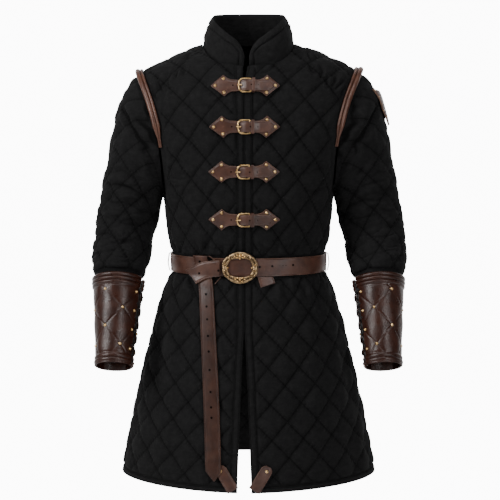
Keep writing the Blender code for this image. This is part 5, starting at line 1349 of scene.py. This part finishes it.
def makePiping(side, word):
    # A thick roll fills the crease between the coat and the sleeve, with a thinner one beside it.
    turn = np.linspace(-piping["end"], piping["end"], piping["stations"])
    fold, ahead = np.abs(turn), turn[:, None] > 0
    points, above = (np.where(ahead, *(onSide[f](*armhole(fold, f), lift) for f in (-1, 1)))
                     for lift in (0.0, 0.001))
    normals = unit(above - points)
    ways = unit(np.cross(normals, np.gradient(points, axis=0)))
    ways = ways * np.sign(ways[:, 0].mean())
    sleeve, high = onSleeve(1), sleeveCap(turn) - 0.006
    other = unit(sleeve(turn, high, 0.001) - sleeve(turn, high, 0.0))
    middle = unit(smoothed(unit(normals + other), np.hanning(15)))
    lean = np.sum(middle * normals, axis=1)
    taper = np.clip(np.cos(turn / piping["end"] * math.pi / 2) * 3.4, 0.45, 1.0)
    roll, bead = piping["roll"] * taper, piping["bead"] * taper
    away = (cloth["wall"] + 3 * leather["gap"] + roll) / lean
    centre = points + middle * away[:, None]
    across = np.sum((centre - points) * ways, axis=1)
    beadUp = cloth["wall"] + 5 * leather["gap"] + bead
    apart = np.sqrt((roll + bead + leather["gap"]) ** 2 - (away * lean - beadUp) ** 2)
    beside = points + normals * beadUp[:, None] + ways * (across - apart)[:, None]

    def seam(row, turnRound):
        return 1 - 0.035 * bell(np.cos(turnRound) - 1, 0.02) + 0.0072 * np.sin(row * 0.9)

    for kind, line, radius, sides in (("roll", centre, roll, 20), ("bead", beside, bead, 14)):
        form = tubeForm(line * mirror[side], radius, sides, ridge=seam)
        makePiece("piping_%s_%s" % (kind, word), *form, pipingHide)


for side, word in sideNames:
    makePiping(side, word)
print("stage: piping,", made["triangles"], "triangles so far")


strapTable = table("across halfHeight lift", (
    (-700, 8, 0), (-570, 110, 0), (-440, 215, 0), (-360, 150, 0), (-290, 120, 0), (-200, 115, 0),
    (-120, 108, 0), (-40, 105, 27), (40, 105, 60), (80, 105, 64), (190, 105, 62), (270, 105, 31),
    (480, 105, 30), (580, 8, 30),
), [10000] * 3)
chapeTable = table("across halfHeight lift", (
    (60, 110, 0), (220, 115, 0), (290, 120, 0), (360, 150, 0), (440, 215, 0), (570, 110, 0), (700, 8, 0),
), [10000] * 3)
rivetFrames, holeFrames = [], []


def makeClosure(index, height, centre, rest, size):
    # A strap with its base on the wearer's right, a chape on the left, a buckle and a keeper.
    shape = closures
    for key, rows in (("strap", strapTable), ("chape", chapeTable)):
        tableStrip("%s_%d" % (key, index), front, centre + rows["across"] * size, height - rows["halfHeight"],
                   height + rows["halfHeight"], rest + rows["lift"], leather["strap"], strapHide,
                   spacing=0.0022, middle=4, crown=0.05)
    rivetFrames.extend(frameAt(front, centre + side * x * size, height + y, rest + leather["strap"] * 1.02)
                       for side in (-1, 1) for x, y in shape["rivets"])
    for x in shape["holes"]:
        lift = rest + float(np.interp(x, strapTable["across"], strapTable["lift"])) + leather["strap"]
        holeFrames.append(frameAt(front, centre + x * size, height, lift + 0.0003))
    # The buckle: a rounded D whose straight bar the chape goes round
    arc = np.linspace(-0.5, 0.5, 36) * math.pi
    half, bar, bow = shape["buckleHalf"], shape["bar"], shape["bow"]
    run = np.linspace(bow, bar, 14)[1:]
    x = chain(bow - shape["bowDepth"] * np.cos(arc), run, np.full(14, bar), run[::-1])
    y = chain(half * np.sin(arc), np.full(13, half), np.linspace(half, -half, 16)[1:-1],
              np.full(13, -half))
    y = np.sign(y) * half * np.abs(y / half) ** 0.8
    skin = front(centre + x * size, height + y, rest + leather["strap"] + leather["gap"] + shape["wire"])
    wire = shape["wire"] * (0.94 + 0.20 * np.clip(1 - (x + 0.006) / 0.006, 0, 1))
    makePiece("buckle_%d" % index, *tubeForm(skin, wire, 12, closed=True), brass)
    # The prong, from the bar over the bow
    part = np.linspace(0.0, 1.0, 24)
    lift = rest + 0.0064 + 0.0016 * np.sin(part * math.pi * 0.62)
    skin = front(centre - (0.0072 + 0.0085 * part) * size, height, lift)
    makePiece("prong_%d" % index, *tubeForm(skin, 0.00120 - 0.00025 * part, 10), brass)
    # The keeper: a small bridge over the strap
    inside, under = 0.0122 + shape["keeperThick"] / 2, 0.0062 + leather["strap"] + 2 * leather["gap"]
    corner, bend = np.linspace(0, math.pi / 2, 8), shape["keeperBend"]
    flat, tall = inside - bend, under - bend
    up = chain([-inside] * 6, -flat - bend * np.cos(corner), np.linspace(-flat, flat, 16)[1:-1],
               flat + bend * np.sin(corner), [inside] * 6)
    rise = chain(np.linspace(0, tall, 7)[:-1], tall + bend * np.sin(corner), np.full(14, under),
                 tall + bend * np.cos(corner), np.linspace(tall, 0, 7)[1:])
    way = unit(np.gradient(pairs(up, rise), axis=0))
    edges = [pairs(centre + x * size, height + up) for x in shape["keeper"]]
    strip("keeper_%d" % index, front, *edges, rest + rise, shape["keeperThick"] * 0.8, strapHide, middle=2,
          crease=0.0, lean=pairs(-way[:, 1], way[:, 0]))


closureRows = zip(closureUp, closures["across"], closures["sinks"], closures["sizes"])
for index, (height, x, sink, size) in enumerate(closureRows, start=1):
    makeClosure(index, height, closureX + x, onCloth - sink, size)
studs("closureRivets", rivetFrames, closures["rivet"])
# The strap holes are black discs of painted shade
studs("closureHoles", holeFrames, closures["hole"], holeShadeLook, holeProfile, 12)
print("stage: closures,", made["triangles"], "triangles so far")


def roundWaist(steps, up, lift):
    # Places round the waist. steps is an arc length in front, and goes on behind past the side.
    reach = {f: sideLength(up.ravel(), f).reshape(up.shape) for f in (-1, 1)}
    ahead = np.abs(steps) <= 1
    fore = front(np.clip(steps, -1, 1) * reach[-1], up, lift)
    behind = back(np.where(steps > 0, 2 - steps, -2 - steps).clip(-1, 1) * reach[1], up, lift)
    return np.where(ahead[..., None], fore, behind)


def makeBelt():
    # A closed strap round the waist, with rounded edges and a pressed line beside each.
    steps = chain(np.linspace(-1, 1, 261)[:-1], np.linspace(1, 3, 121)[:-1])
    steps = np.where(steps > 2, steps - 4, steps)
    offsets, parts = profileTables(leather["belt"], 0.16)
    side = chain(offsets, np.linspace(0.0031, beltHalf, 7)[1:])
    height = chain(parts, 1 + 0.05 * np.sin(np.linspace(0, 1, 7)[1:] * math.pi / 2))
    edge = chain([1, 1, 1, 0.8], np.zeros(len(side) - 4))
    across = chain(-beltHalf + side, (beltHalf - side)[-2::-1])
    height, edge = (chain(v, v[-2::-1]) for v in (height, edge))
    where, up = np.broadcast_arrays(steps[:, None], levels["waist"] + across[None, :])
    soft = 0.00035 * wander(where * 0.2, up, 0.06, 4) * (height > 0.9)
    grid = roundWaist(where, up, onWaist + leather["belt"] * height[None, :] + soft)
    makePiece("belt", grid, tubeFaces(*grid.shape[:2], True), strapHide,
              marks={"edge": np.tile(edge, len(steps))})


# Wrapped bands across the ring: the turn of each, its half width and its number of coils
ringWraps = ((0.0, 0.115, 3), (math.pi, 0.115, 3), (-0.72, 0.075, 2), (-2.42, 0.075, 2),
             (0.86, 0.055, 1), (2.28, 0.055, 1))
# Beads at the ring's top, foot and sides: the middle turn, and then turn, inset and size of each.
# Those that aren't in the middle stand on both sides of it.
sideBeads = ((0.17, 0.5, 0.6), (0, 1.04, 0.75))
ringBeads = (
    (math.pi / 2, ((0, 0.5, 1.3), (0.15, 0.3, 1.0), (0.15, 0.74, 0.95), (0, 0.14, 0.85), (0, 0.98, 0.8),
                   (0.29, 0.5, 0.75))),
    (-math.pi / 2, ((0, 0.5, 1.15), (0.12, 0.2, 0.95), (0.12, 0.8, 0.95), (0, 0.14, 0.7), (0.26, 0.5, 0.7))),
    (0.0, sideBeads), (math.pi, sideBeads),
)


def ringSpot(turn, inset):
    # A pattern place on the ring's band. Its outer line is an oval and its opening is squarer.
    shape = belting["ring"]
    cosine, sine = np.cos(turn), np.sin(turn)
    squared = [np.sign(v) * np.abs(v) ** 0.74 for v in (cosine, sine)]
    wide, tall = shape["halfWidth"], shape["halfHeight"]
    across = (1 - inset) * wide * cosine + inset * (wide - shape["band"]) * squared[0]
    up = (1 - inset) * tall * sine + inset * (tall - shape["bandUp"]) * squared[1]
    return closureX + shape["centre"] + across, levels["waist"] + up


def makeRing():
    # An oval ring: two twisted rims with a sunken channel between them, crossed by wrapped bars.
    # Its ornament is a height on a grid of a turn round the ring and a place across its band.
    shape = belting["ring"]
    turn = roundTurns(432)
    inset = chain([0.02, 0.0, 0.004], np.linspace(0.03, 0.97, 29), [0.996, 1.0, 0.98])
    domed = (1 - np.abs(np.linspace(-1, 1, 29)) ** 3.0) * 0.52 + 0.44
    domed = chain([0.0, 0.1, 0.34], domed, [0.34, 0.1, 0.0])
    t, s = np.meshgrid(turn, inset, indexing="ij")
    rimAt = np.abs(s - 0.5) * 2
    rims = bell(rimAt - 0.84, 0.13)
    twist = 0.5 + 0.5 * np.sin(t * 62 + (s - 0.5) * 26 * np.sign(s - 0.5))
    channel = np.exp(-(rimAt / 0.58) ** 6)
    # Rows of small scales in the channel, each leaning the other way from the row beside it
    scales = np.sin(t * 40 + np.sign(s - 0.5) * 1.6) * np.cos((s - 0.5) * 21)
    lift = rims * (0.00020 + 0.00070 * twist) + channel * (-0.00100 + 0.00120 * np.clip(scales, -0.4, 1))
    low = np.clip(channel * (0.80 - 1.3 * np.clip(scales, 0, 1)), 0, 1) + rims * 0.45 * (1 - twist)
    for spot, width, count in ringWraps:
        off = wrapped(t - spot)
        wrap = np.exp(-(off / width) ** 8)
        stripes = np.abs(np.cos(off / width * count * math.pi / 2)) ** 0.6
        lift = lift * (1 - wrap) + wrap * (0.0003 + 0.0013 * stripes)
        low = low * (1 - wrap) + wrap * (1 - stripes) * 0.8
    top = np.clip(domed * 1.6 - 0.6, 0, 1)
    grid = front(*ringSpot(t, s), onBelt + domed * shape["thick"] + lift * top)
    makePiece("belt_ring", grid, tubeFaces(*grid.shape[:2], True), ringBrass, marks={"low": low * (top > 0)})
    frames, sizes = [], []
    for middle, spots in ringBeads:
        for aside, inset, size in spots:
            for turn in (middle - aside, middle + aside) if aside else (middle,):
                frames.append(frameAt(front, *ringSpot(turn, inset), onBelt + shape["thick"] * 0.88))
                sizes.append(size)
    ball = [(math.sin(a), -math.cos(a)) for a in np.linspace(0.25, math.pi - 0.25, 9)]
    studs("ringBeads", frames, 0.0022, brass, ball, 14, sizes)


def beltFrames(spots, lift):
    # Frames at places beside the closure's line and above the belt's middle.
    return [frameAt(front, closureX + x, levels["waist"] + y, lift) for x, y in spots]


def makeBeltPieces():
    # The hanging tail, the band round the knot, the tab below the belt, and the holes in them.
    tail, band, hide = belting["tail"], belting["band"], leather["belt"]
    middle = closureX + tail["across"]
    tableStrip("belt_tail", front, tail["height"], middle - tail["halfWidth"], middle + tail["halfWidth"],
               tail["lift"], hide, tailHide, spacing=0.003, turned=True, middle=5, crown=0.05)
    holes = []
    for up in belting["tailHoles"]:
        x, lift = (float(np.interp(up, tail["height"], tail[key])) for key in ("across", "lift"))
        holes.append(frameAt(front, closureX + x, up, lift + hide * 1.05 + 0.0003))
    tableStrip("belt_band", front, closureX + band["across"], band["bottom"], band["top"],
               onBelt + hide + 3 * leather["gap"], hide, strapHide, spacing=0.0018, middle=6, crown=0.06)
    holes += beltFrames(belting["holes"], onWaist + hide * 1.05 + 0.0003)
    holes += beltFrames(belting["foldHoles"], onBelt + hide * 1.05 + 0.0012)
    holes += beltFrames(belting["bandHoles"], onBelt + 2 * hide + 0.0015)
    # The holes, large and small, are black discs of painted shade
    studs("beltHoles", holes, belting["hole"], holeShadeLook, holeProfile, 14)
    small = beltFrames(belting["smallHoles"], onWaist + hide * 1.05 + 0.0003)
    studs("beltSmallHoles", small, 0.0009, holeShadeLook, holeProfile, 10)
    part = stations(np.array([0.0, 1.0]), 0.06) * 2
    edges = [pairs(closureX + np.interp(part, (0, 1, 2), x), np.interp(part, (0, 1, 2), up))
             for x, up in belting["tab"]]
    strip("belt_tab", front, *edges, onCloth, leather["strap"], strapHide, middle=5)


# Beside the fold a corner of hide stands over a black plate of painted shade, and below it the
# belt's end shows: two edges, a lift, a thickness and a look
knotScraps = {
    "beltShadePlate": (((-0.0724, -0.429), (-0.0724, -0.4425)), ((-0.069, -0.4279), (-0.0592, -0.4412)),
                   onBelt + 0.0022, 0.001, holeShadeLook),
    "beltCorner": (((-0.0704, -0.4272), (-0.0578, -0.4402)), ((-0.0672, -0.4272), (-0.0546, -0.4396)),
                   onBelt + 0.0026, 0.0016, strapHide),
    "beltEnd": (((-0.0475, -0.4745), (-0.059, -0.49)), ((-0.0455, -0.476), (-0.0585, -0.4915)),
                onCloth, 0.002, strapHide),
}


def makeKnotScraps():
    # Each scrap is a strip between its two edges.
    for name, (left, right, lift, thick, look) in knotScraps.items():
        edges = [evenLine(np.array(edge), 12) + (closureX, 0) for edge in (left, right)]
        strip(name, front, *edges, lift, thick, look, False, middle=3)


def makeBeltLoop(side, word):
    # A narrow loop that stands proud of the belt between its two sewn ends.
    height = np.array([-0.0232, -0.0217, -0.0203, 0.0, 0.0203, 0.0217, 0.0232])
    low, high = cloth["wall"] + 0.0009, onBelt + 0.0012
    lift = (low, low + 0.0003, high, high + 0.0028, high, low + 0.0003, low)
    at = np.linspace(-0.0232, 0.0232, 60)
    up, rise = levels["waist"] + at, smoothed(np.interp(at, height, lift), np.ones(5))
    edges = [pairs(side * (sideLength(up, -1) - x), up) for x in (0.018, 0.008)]
    strip("belt_loop_" + word, front, *edges, rise, 0.0016, loopHide, middle=3, crease=0.25)


makeBelt()
makeRing()
makeBeltPieces()
makeKnotScraps()
for side, word in sideNames:
    makeBeltLoop(side, word)
print("stage: belt,", made["triangles"], "triangles so far")


hemTab = table("across height halfWidth sink", (
    (480, -8490, 45, 0), (466, -8515, 90, 0), (440, -8560, 118, 0), (400, -8625, 120, 0),
    (330, -8740, 120, 0), (270, -8838, 120, 6), (195, -8960, 120, 12),
), [10000] * 4)
hemRivet = (0.044, -0.8585)


def makeHemTab(side, word):
    # A tab that slants down from its point and under the hem.
    knots = np.arange(len(hemTab["height"]), dtype=float)
    at = stations(knots[[0, -1]], 0.12)
    across, up, half, sink = (np.interp(at, knots, column) for column in hemTab.values())
    line = pairs(across, up)
    way = unit(np.gradient(line, axis=0))
    away = pairs(-way[:, 1], way[:, 0]) * half[:, None]
    edges = [edge * (side, 1) + (closureX + hemShift[side], 0) for edge in (line + away, line - away)]
    strip("hem_tab_" + word, front, *edges, onCloth - sink, leather["strap"], strapHide, middle=5, crown=0.04)


for side, word in sideNames[::-1]:
    makeHemTab(side, word)
studs("hemRivets", [frameAt(front, closureX + hemShift[side] + side * hemRivet[0], hemRivet[1],
                            onCloth + leather["strap"]) for side in (1, -1)], 0.0033)

shieldTable = table("high halfWidth", (
    (3250, 20), (3350, 125), (3480, 205), (3630, 240), (3800, 245), (3960, 240),
), [10000] * 2)
shieldTurn, shieldRadius = math.radians(8), 0.075


def shieldPlace(across, high, lift):
    # A place on the left sleeve, measured across and up from the shield's middle line.
    return onSleeve(1)(shieldTurn + across / shieldRadius, high, lift)


tableStrip("arm_shield", shieldPlace, shieldTable["high"], -shieldTable["halfWidth"], shieldTable["halfWidth"],
           onCloth, 0.0024, strapHide, spacing=0.0022, turned=True, middle=5, crown=0.7)
shieldSpots = [(x * (np.interp(h, shieldTable["high"], shieldTable["halfWidth"]) - 0.0036), h)
               for h in (0.34, 0.352, 0.365, 0.3795, 0.3925) for x in (-1, 1)] + [(0.0, 0.3925)]
studs("shieldRivets", [frameAt(shieldPlace, x, h, onCloth + 0.0021) for x, h in shieldSpots], 0.0013, sides=10)
print("stage: tabs and shield,", made["triangles"], "triangles so far")


cuffShape = {
    "top": (0.27, -0.0385, -0.486), "end": (0.2745, -0.1175, -0.657),
    "along": (0.0, 0.0195, 0.045, 0.085, 0.13, 0.1625, 0.187),
    "halfWidth": (0.0384, 0.0392, 0.0403, 0.0438, 0.0477, 0.0507, 0.053),
    "halfDepth": (0.0374, 0.0382, 0.0398, 0.044, 0.0484, 0.0517, 0.0539),
    "inner": (0.0355, 0.0485), "radius": 0.044,
    # each rolled edge: its middle along the cuff, its half width and its height
    "rolls": ((0.0018, 0.0018, 0.0012), (0.0072, 0.0042, 0.0022), (0.0156, 0.0038, 0.0014),
              (0.1669, 0.0035, 0.0026), (0.1746, 0.0038, 0.003), (0.1826, 0.0038, 0.0026)),
    "gapTurn": math.radians(168), "gapHalf": 0.007,
    "creaseSpacing": 0.053, "creaseDepth": 0.0009, "creaseHalf": 0.0012, "puff": 0.0006,
    "studTurn": 64.0, "turnStep": 47.0, "studAlong": 0.152, "alongStep": 0.0375, "stud": 0.0031,
}


def cuffAxes(side):
    # The cuff's end, its axis upward, and its two side directions.
    top, end = np.array(cuffShape["top"]), np.array(cuffShape["end"])
    axis = unit(top - end)
    out = unit(np.array([1.0, 0, 0]) - axis * axis[0])
    fore = np.cross(axis, out)
    fore = -fore if fore[1] > 0 else fore
    return [v * mirror[side] for v in (end, axis, out, fore)]


def onCuff(side):
    # place(turn, along, lift): an oval round the cuff's axis, wider by the lift.
    origin, axis, out, fore = cuffAxes(side)

    def place(turn, along, lift):
        width, depth = (np.interp(along, cuffShape["along"], cuffShape[key]) + lift
                        for key in ("halfWidth", "halfDepth"))
        return (origin + np.asarray(along)[..., None] * axis + (width * np.cos(turn))[..., None] * out
                + (depth * np.sin(turn))[..., None] * fore)
    return place


def cuffRelief(turn, along):
    # Rolled edges, slanting creases between the studs, and the hide swelling between the creases.
    shape = cuffShape
    lift = np.zeros(np.broadcast(turn, along).shape)
    for middle, half, height in shape["rolls"]:
        lift = np.maximum(lift, height * np.sqrt(np.clip(1 - ((along - middle) / half) ** 2, 0, 1)))
    between = eased(along, 0.0205, 0.024) * (1 - eased(along, 0.159, 0.1625))
    degrees = (np.degrees(turn) + 192) % 360 - 192
    c = (degrees - shape["studTurn"]) / (2 * shape["turnStep"])
    r = (along - shape["studAlong"]) / (2 * shape["alongStep"])
    a, b = c + r, c - r
    bend = 0.0006 * wander(turn * 0.04, along, 0.05, 5)
    crease = sum(np.exp(-((np.abs(v - np.round(v)) * shape["creaseSpacing"] + bend) / shape["creaseHalf"]) ** 2)
                 for v in (a, b))
    swell = np.sqrt(np.abs(np.sin(math.pi * a) * np.sin(math.pi * b)))
    soft = 0.0004 * wander(turn * 0.04, along, 0.045, 9)
    edge = sum(bell(along - at, 0.0016) for at in (0.0225, 0.1605))
    relief = shape["puff"] * swell - shape["creaseDepth"] * np.clip(crease, 0, 1.2) + soft
    return lift + between * relief - 0.0006 * edge


def makeCuff(side, word):
    # The laced hide cuff: its relief outside, a plain round inside, and an opening at the back.
    shape, place = cuffShape, onCuff(side)
    gap = shape["gapHalf"] / cuffShape["radius"]
    turns = np.linspace(shape["gapTurn"] + gap, shape["gapTurn"] + 2 * math.pi - gap, 201)
    along = chain(np.linspace(0, 0.0205, 26)[:-1], np.linspace(0.0205, 0.1625, 88)[:-1],
                  np.linspace(0.1625, 0.1868, 34))
    turn, spot = np.meshgrid(turns, along, indexing="ij")
    fromGap = np.minimum(turn - turns[0], turns[-1] - turn) * shape["radius"]
    tuck = 0.0011 * (1 - eased(fromGap, 0.0, 0.0022)) - 0.0007 * bell(fromGap - 0.004, 0.0009)
    outer = place(turn, spot, cuffRelief(turn, spot) - tuck)
    origin, axis, out, fore = cuffAxes(side)
    turn, spot = np.meshgrid(turns, np.linspace(along[-1] - 0.0012, 0.0012, 7), indexing="ij")
    radius = np.interp(spot, (0, 0.187), shape["inner"])
    inner = (origin + spot[..., None] * axis + (radius * np.cos(turn))[..., None] * out
             + (radius * np.sin(turn))[..., None] * fore)
    loop = np.concatenate([outer, inner], axis=1)
    marks = np.zeros(loop.shape[:2])
    marks[[0, -1]] = 0.8
    makePiece("cuff_" + word, loop, tubeFaces(*marks.shape), cuffHide, marks={"edge": marks}, sharp=65)
    # Studs where the creases cross, and a row of them on each side of the laced opening
    spots = []
    for column in range(-4, 4):
        degrees = shape["studTurn"] + column * shape["turnStep"]
        if -160 < degrees < 130:
            spots += [(degrees, shape["studAlong"] - row * shape["alongStep"])
                      for row in range(column % 2, 4, 2)]
    spots += [(degrees, 0.1515 - row * 0.0398) for row in range(4) for degrees in (145, 191)]
    turn, along = np.array(spots).T
    turn = np.radians(turn)
    lift = cuffRelief(turn, along)
    spot = place(turn, along, lift + 0.0006)
    normal = unit(place(turn, along, lift + 0.0013) - spot)
    studs("cuffStuds_" + word, [(spot, unit(np.cross(normal, axis)), normal)], shape["stud"])


def makeTongue(side, word):
    # The soft black tongue that swells out of the laced opening between the lace's crossings.
    place = onCuff(side)
    reach = cuffShape["gapHalf"] / cuffShape["radius"] * 0.94
    turns = np.linspace(-reach, reach, 15)
    along = np.linspace(0.006, 0.18, 110)
    turn, spot = np.meshgrid(turns, along, indexing="ij")
    swell = 0.0022 + 0.0011 * np.cos((spot - 0.026) / 0.01467 * 2 * math.pi)
    lift = -0.0022 + swell * np.cos(turn / reach * math.pi / 2) ** 0.8
    lift = lift * (1 - 0.5 * (1 - eased(spot, 0.006, 0.014)) - 0.5 * eased(spot, 0.172, 0.18))
    turn = turn + cuffShape["gapTurn"]
    skins = [place(turn, spot, v) for v in (lift, np.full(spot.shape, -0.003))]
    outline, flat = rim(*spot.shape), gridFaces(*spot.shape)
    under = outline + spot.size
    wall = np.stack([outline, under, np.roll(under, -1), np.roll(outline, -1)], -1)
    makePiece("cuffTongue_" + word, np.concatenate([s.reshape(-1, 3) for s in skins]),
              [flat, flat[:, ::-1] + spot.size, wall], blackHide, False)


def makeLace(side, word):
    # One lace that crosses the opening from eyelet to eyelet.
    count, radius, place = 10, 0.0014, onCuff(side)
    reach = (cuffShape["gapHalf"] + 0.0052) / cuffShape["radius"]
    high, knots = np.linspace(0.026, 0.158, count), np.arange(count, dtype=float)
    turn = cuffShape["gapTurn"] + reach * np.where(np.arange(count) % 2 == 0, 1, -1)
    at = np.linspace(0, count - 1, 24 * (count - 1) + 1)
    bow = np.abs(np.sin(at * math.pi)) * 0.0011
    points = place(np.interp(at, knots, turn), np.interp(at, knots, high), radius + 0.0004 + bow)
    form = tubeForm(smoothed(points, np.hanning(7)), radius, 10,
                    ridge=lambda row, around: 1 + 0.09 * np.sin(row * 1.9 + around * 2))
    makePiece("lace_" + word, *form, blackHide)
    low, spot, above = (place(turn, high, np.full(count, lift)) for lift in (0.0, 0.0006, 0.001))
    normal = unit(above - low)
    eyelet = ((1.0, -0.3), (1.06, 0.1), (0.94, 0.26), (0.72, 0.2), (0.56, -0.05))
    studs("eyelets_" + word, [(spot, unit(np.cross(normal, cuffAxes(side)[1])), normal)], 0.0021, blackHide,
          eyelet, 14)


for side, word in sideNames:
    makeCuff(side, word)
    makeTongue(side, word)
    makeLace(side, word)
print("stage: cuffs,", made["triangles"], "triangles so far")

makePiece("clothStitches", *scatter(*stitchForm, stitchLines), threadLook, False)
print("stage: stitches,", made["triangles"], "triangles so far")


# Each cloth piece's face areas are read into an array, which nothing uses
for name, item in sheets.items():
    areas = np.empty(len(item.data.polygons))
    item.data.polygons.foreach_get("area", areas)


sceneSet = {
    "camera": (0.003, -3.1, -0.111), "pitch": 84.12, "lens": 1484 / 500 * 36,
    "floor": -1.45, "glow": 11.0, "ambient": 0.09,
}


def makeStage():
    # A pale floor that curves up into a wall behind, lit by soft boxes.
    look = Look("pale_backdrop")
    # Only what lies behind the coat glows, and less on the coat than in the picture
    spot = look.add("ShaderNodeSeparateXYZ", (look.where,))
    seen = look.between(look.add("ShaderNodeLightPath").outputs["Is Camera Ray"], 0.0, 1.0, 0.08, 1.0)
    glow = look.times(look.between(spot.outputs["Y"], 1.0, 1.7), look.times(seen, sceneSet["glow"]))
    look.fill(look.shader, {"Base Color": (0.93, 0.93, 0.93, 1), "Roughness": 0.9,
                            "Emission Color": (1, 1, 1, 1), "Emission Strength": glow})
    bend = np.linspace(0, math.pi / 2, 25)
    y = chain([-9.0], 3.0 + 1.5 * np.sin(bend), [4.5])
    z = sceneSet["floor"] + chain([0.0], 1.5 * (1 - np.cos(bend)), [7.0])
    x = np.linspace(-9, 9, 5)
    grid = np.stack(np.broadcast_arrays(x, y[:, None], z[:, None]), -1)
    mesh = bpy.data.meshes.new("backdrop")
    mesh.from_pydata(grid.reshape(-1, 3).tolist(), [], gridFaces(len(y), 5).tolist())
    mesh.shade_smooth()
    mesh.materials.append(look.material)
    addObject("backdrop", mesh)


def addLight(name, place, aim, size, power):
    # A soft box at a place, turned to a point.
    light = bpy.data.lights.new(name, "AREA")
    light.shape = "RECTANGLE"
    light.size, light.size_y = size
    light.energy = power
    item = addObject(name, light)
    way = np.array(aim, float) - np.array(place, float)
    flat = math.hypot(way[0], way[1])
    item.location = place
    item.rotation_euler = (math.pi / 2 + math.atan2(way[2], flat), 0, math.atan2(way[1], way[0]) - math.pi / 2)


makeStage()
addLight("leftBox", (-2.2, -1.35, 0.9), (0, 0, -0.45), (0.7, 1.6), 72)
addLight("rightBox", (1.4, -2.4, 0.4), (0, 0, -0.45), (0.6, 2.0), 36)
addLight("topBox", (0.0, -0.9, 1.9), (0, 0, -0.3), (1.6, 1.0), 22)
world = bpy.data.worlds.new("studio")
world.use_nodes = True
background = world.node_tree.nodes["Background"]
background.inputs[0].default_value = (1, 1, 1, 1)
background.inputs[1].default_value = sceneSet["ambient"]
bpy.context.scene.world = world

camera = addObject("camera", bpy.data.cameras.new("camera"))
camera.data.lens = sceneSet["lens"]
camera.data.sensor_width = 36
camera.location = sceneSet["camera"]
camera.rotation_euler = (math.radians(sceneSet["pitch"]), 0, 0)
bpy.context.scene.camera = camera
print("stage: backdrop, lights and camera ready;", made["triangles"], "triangles added in all")
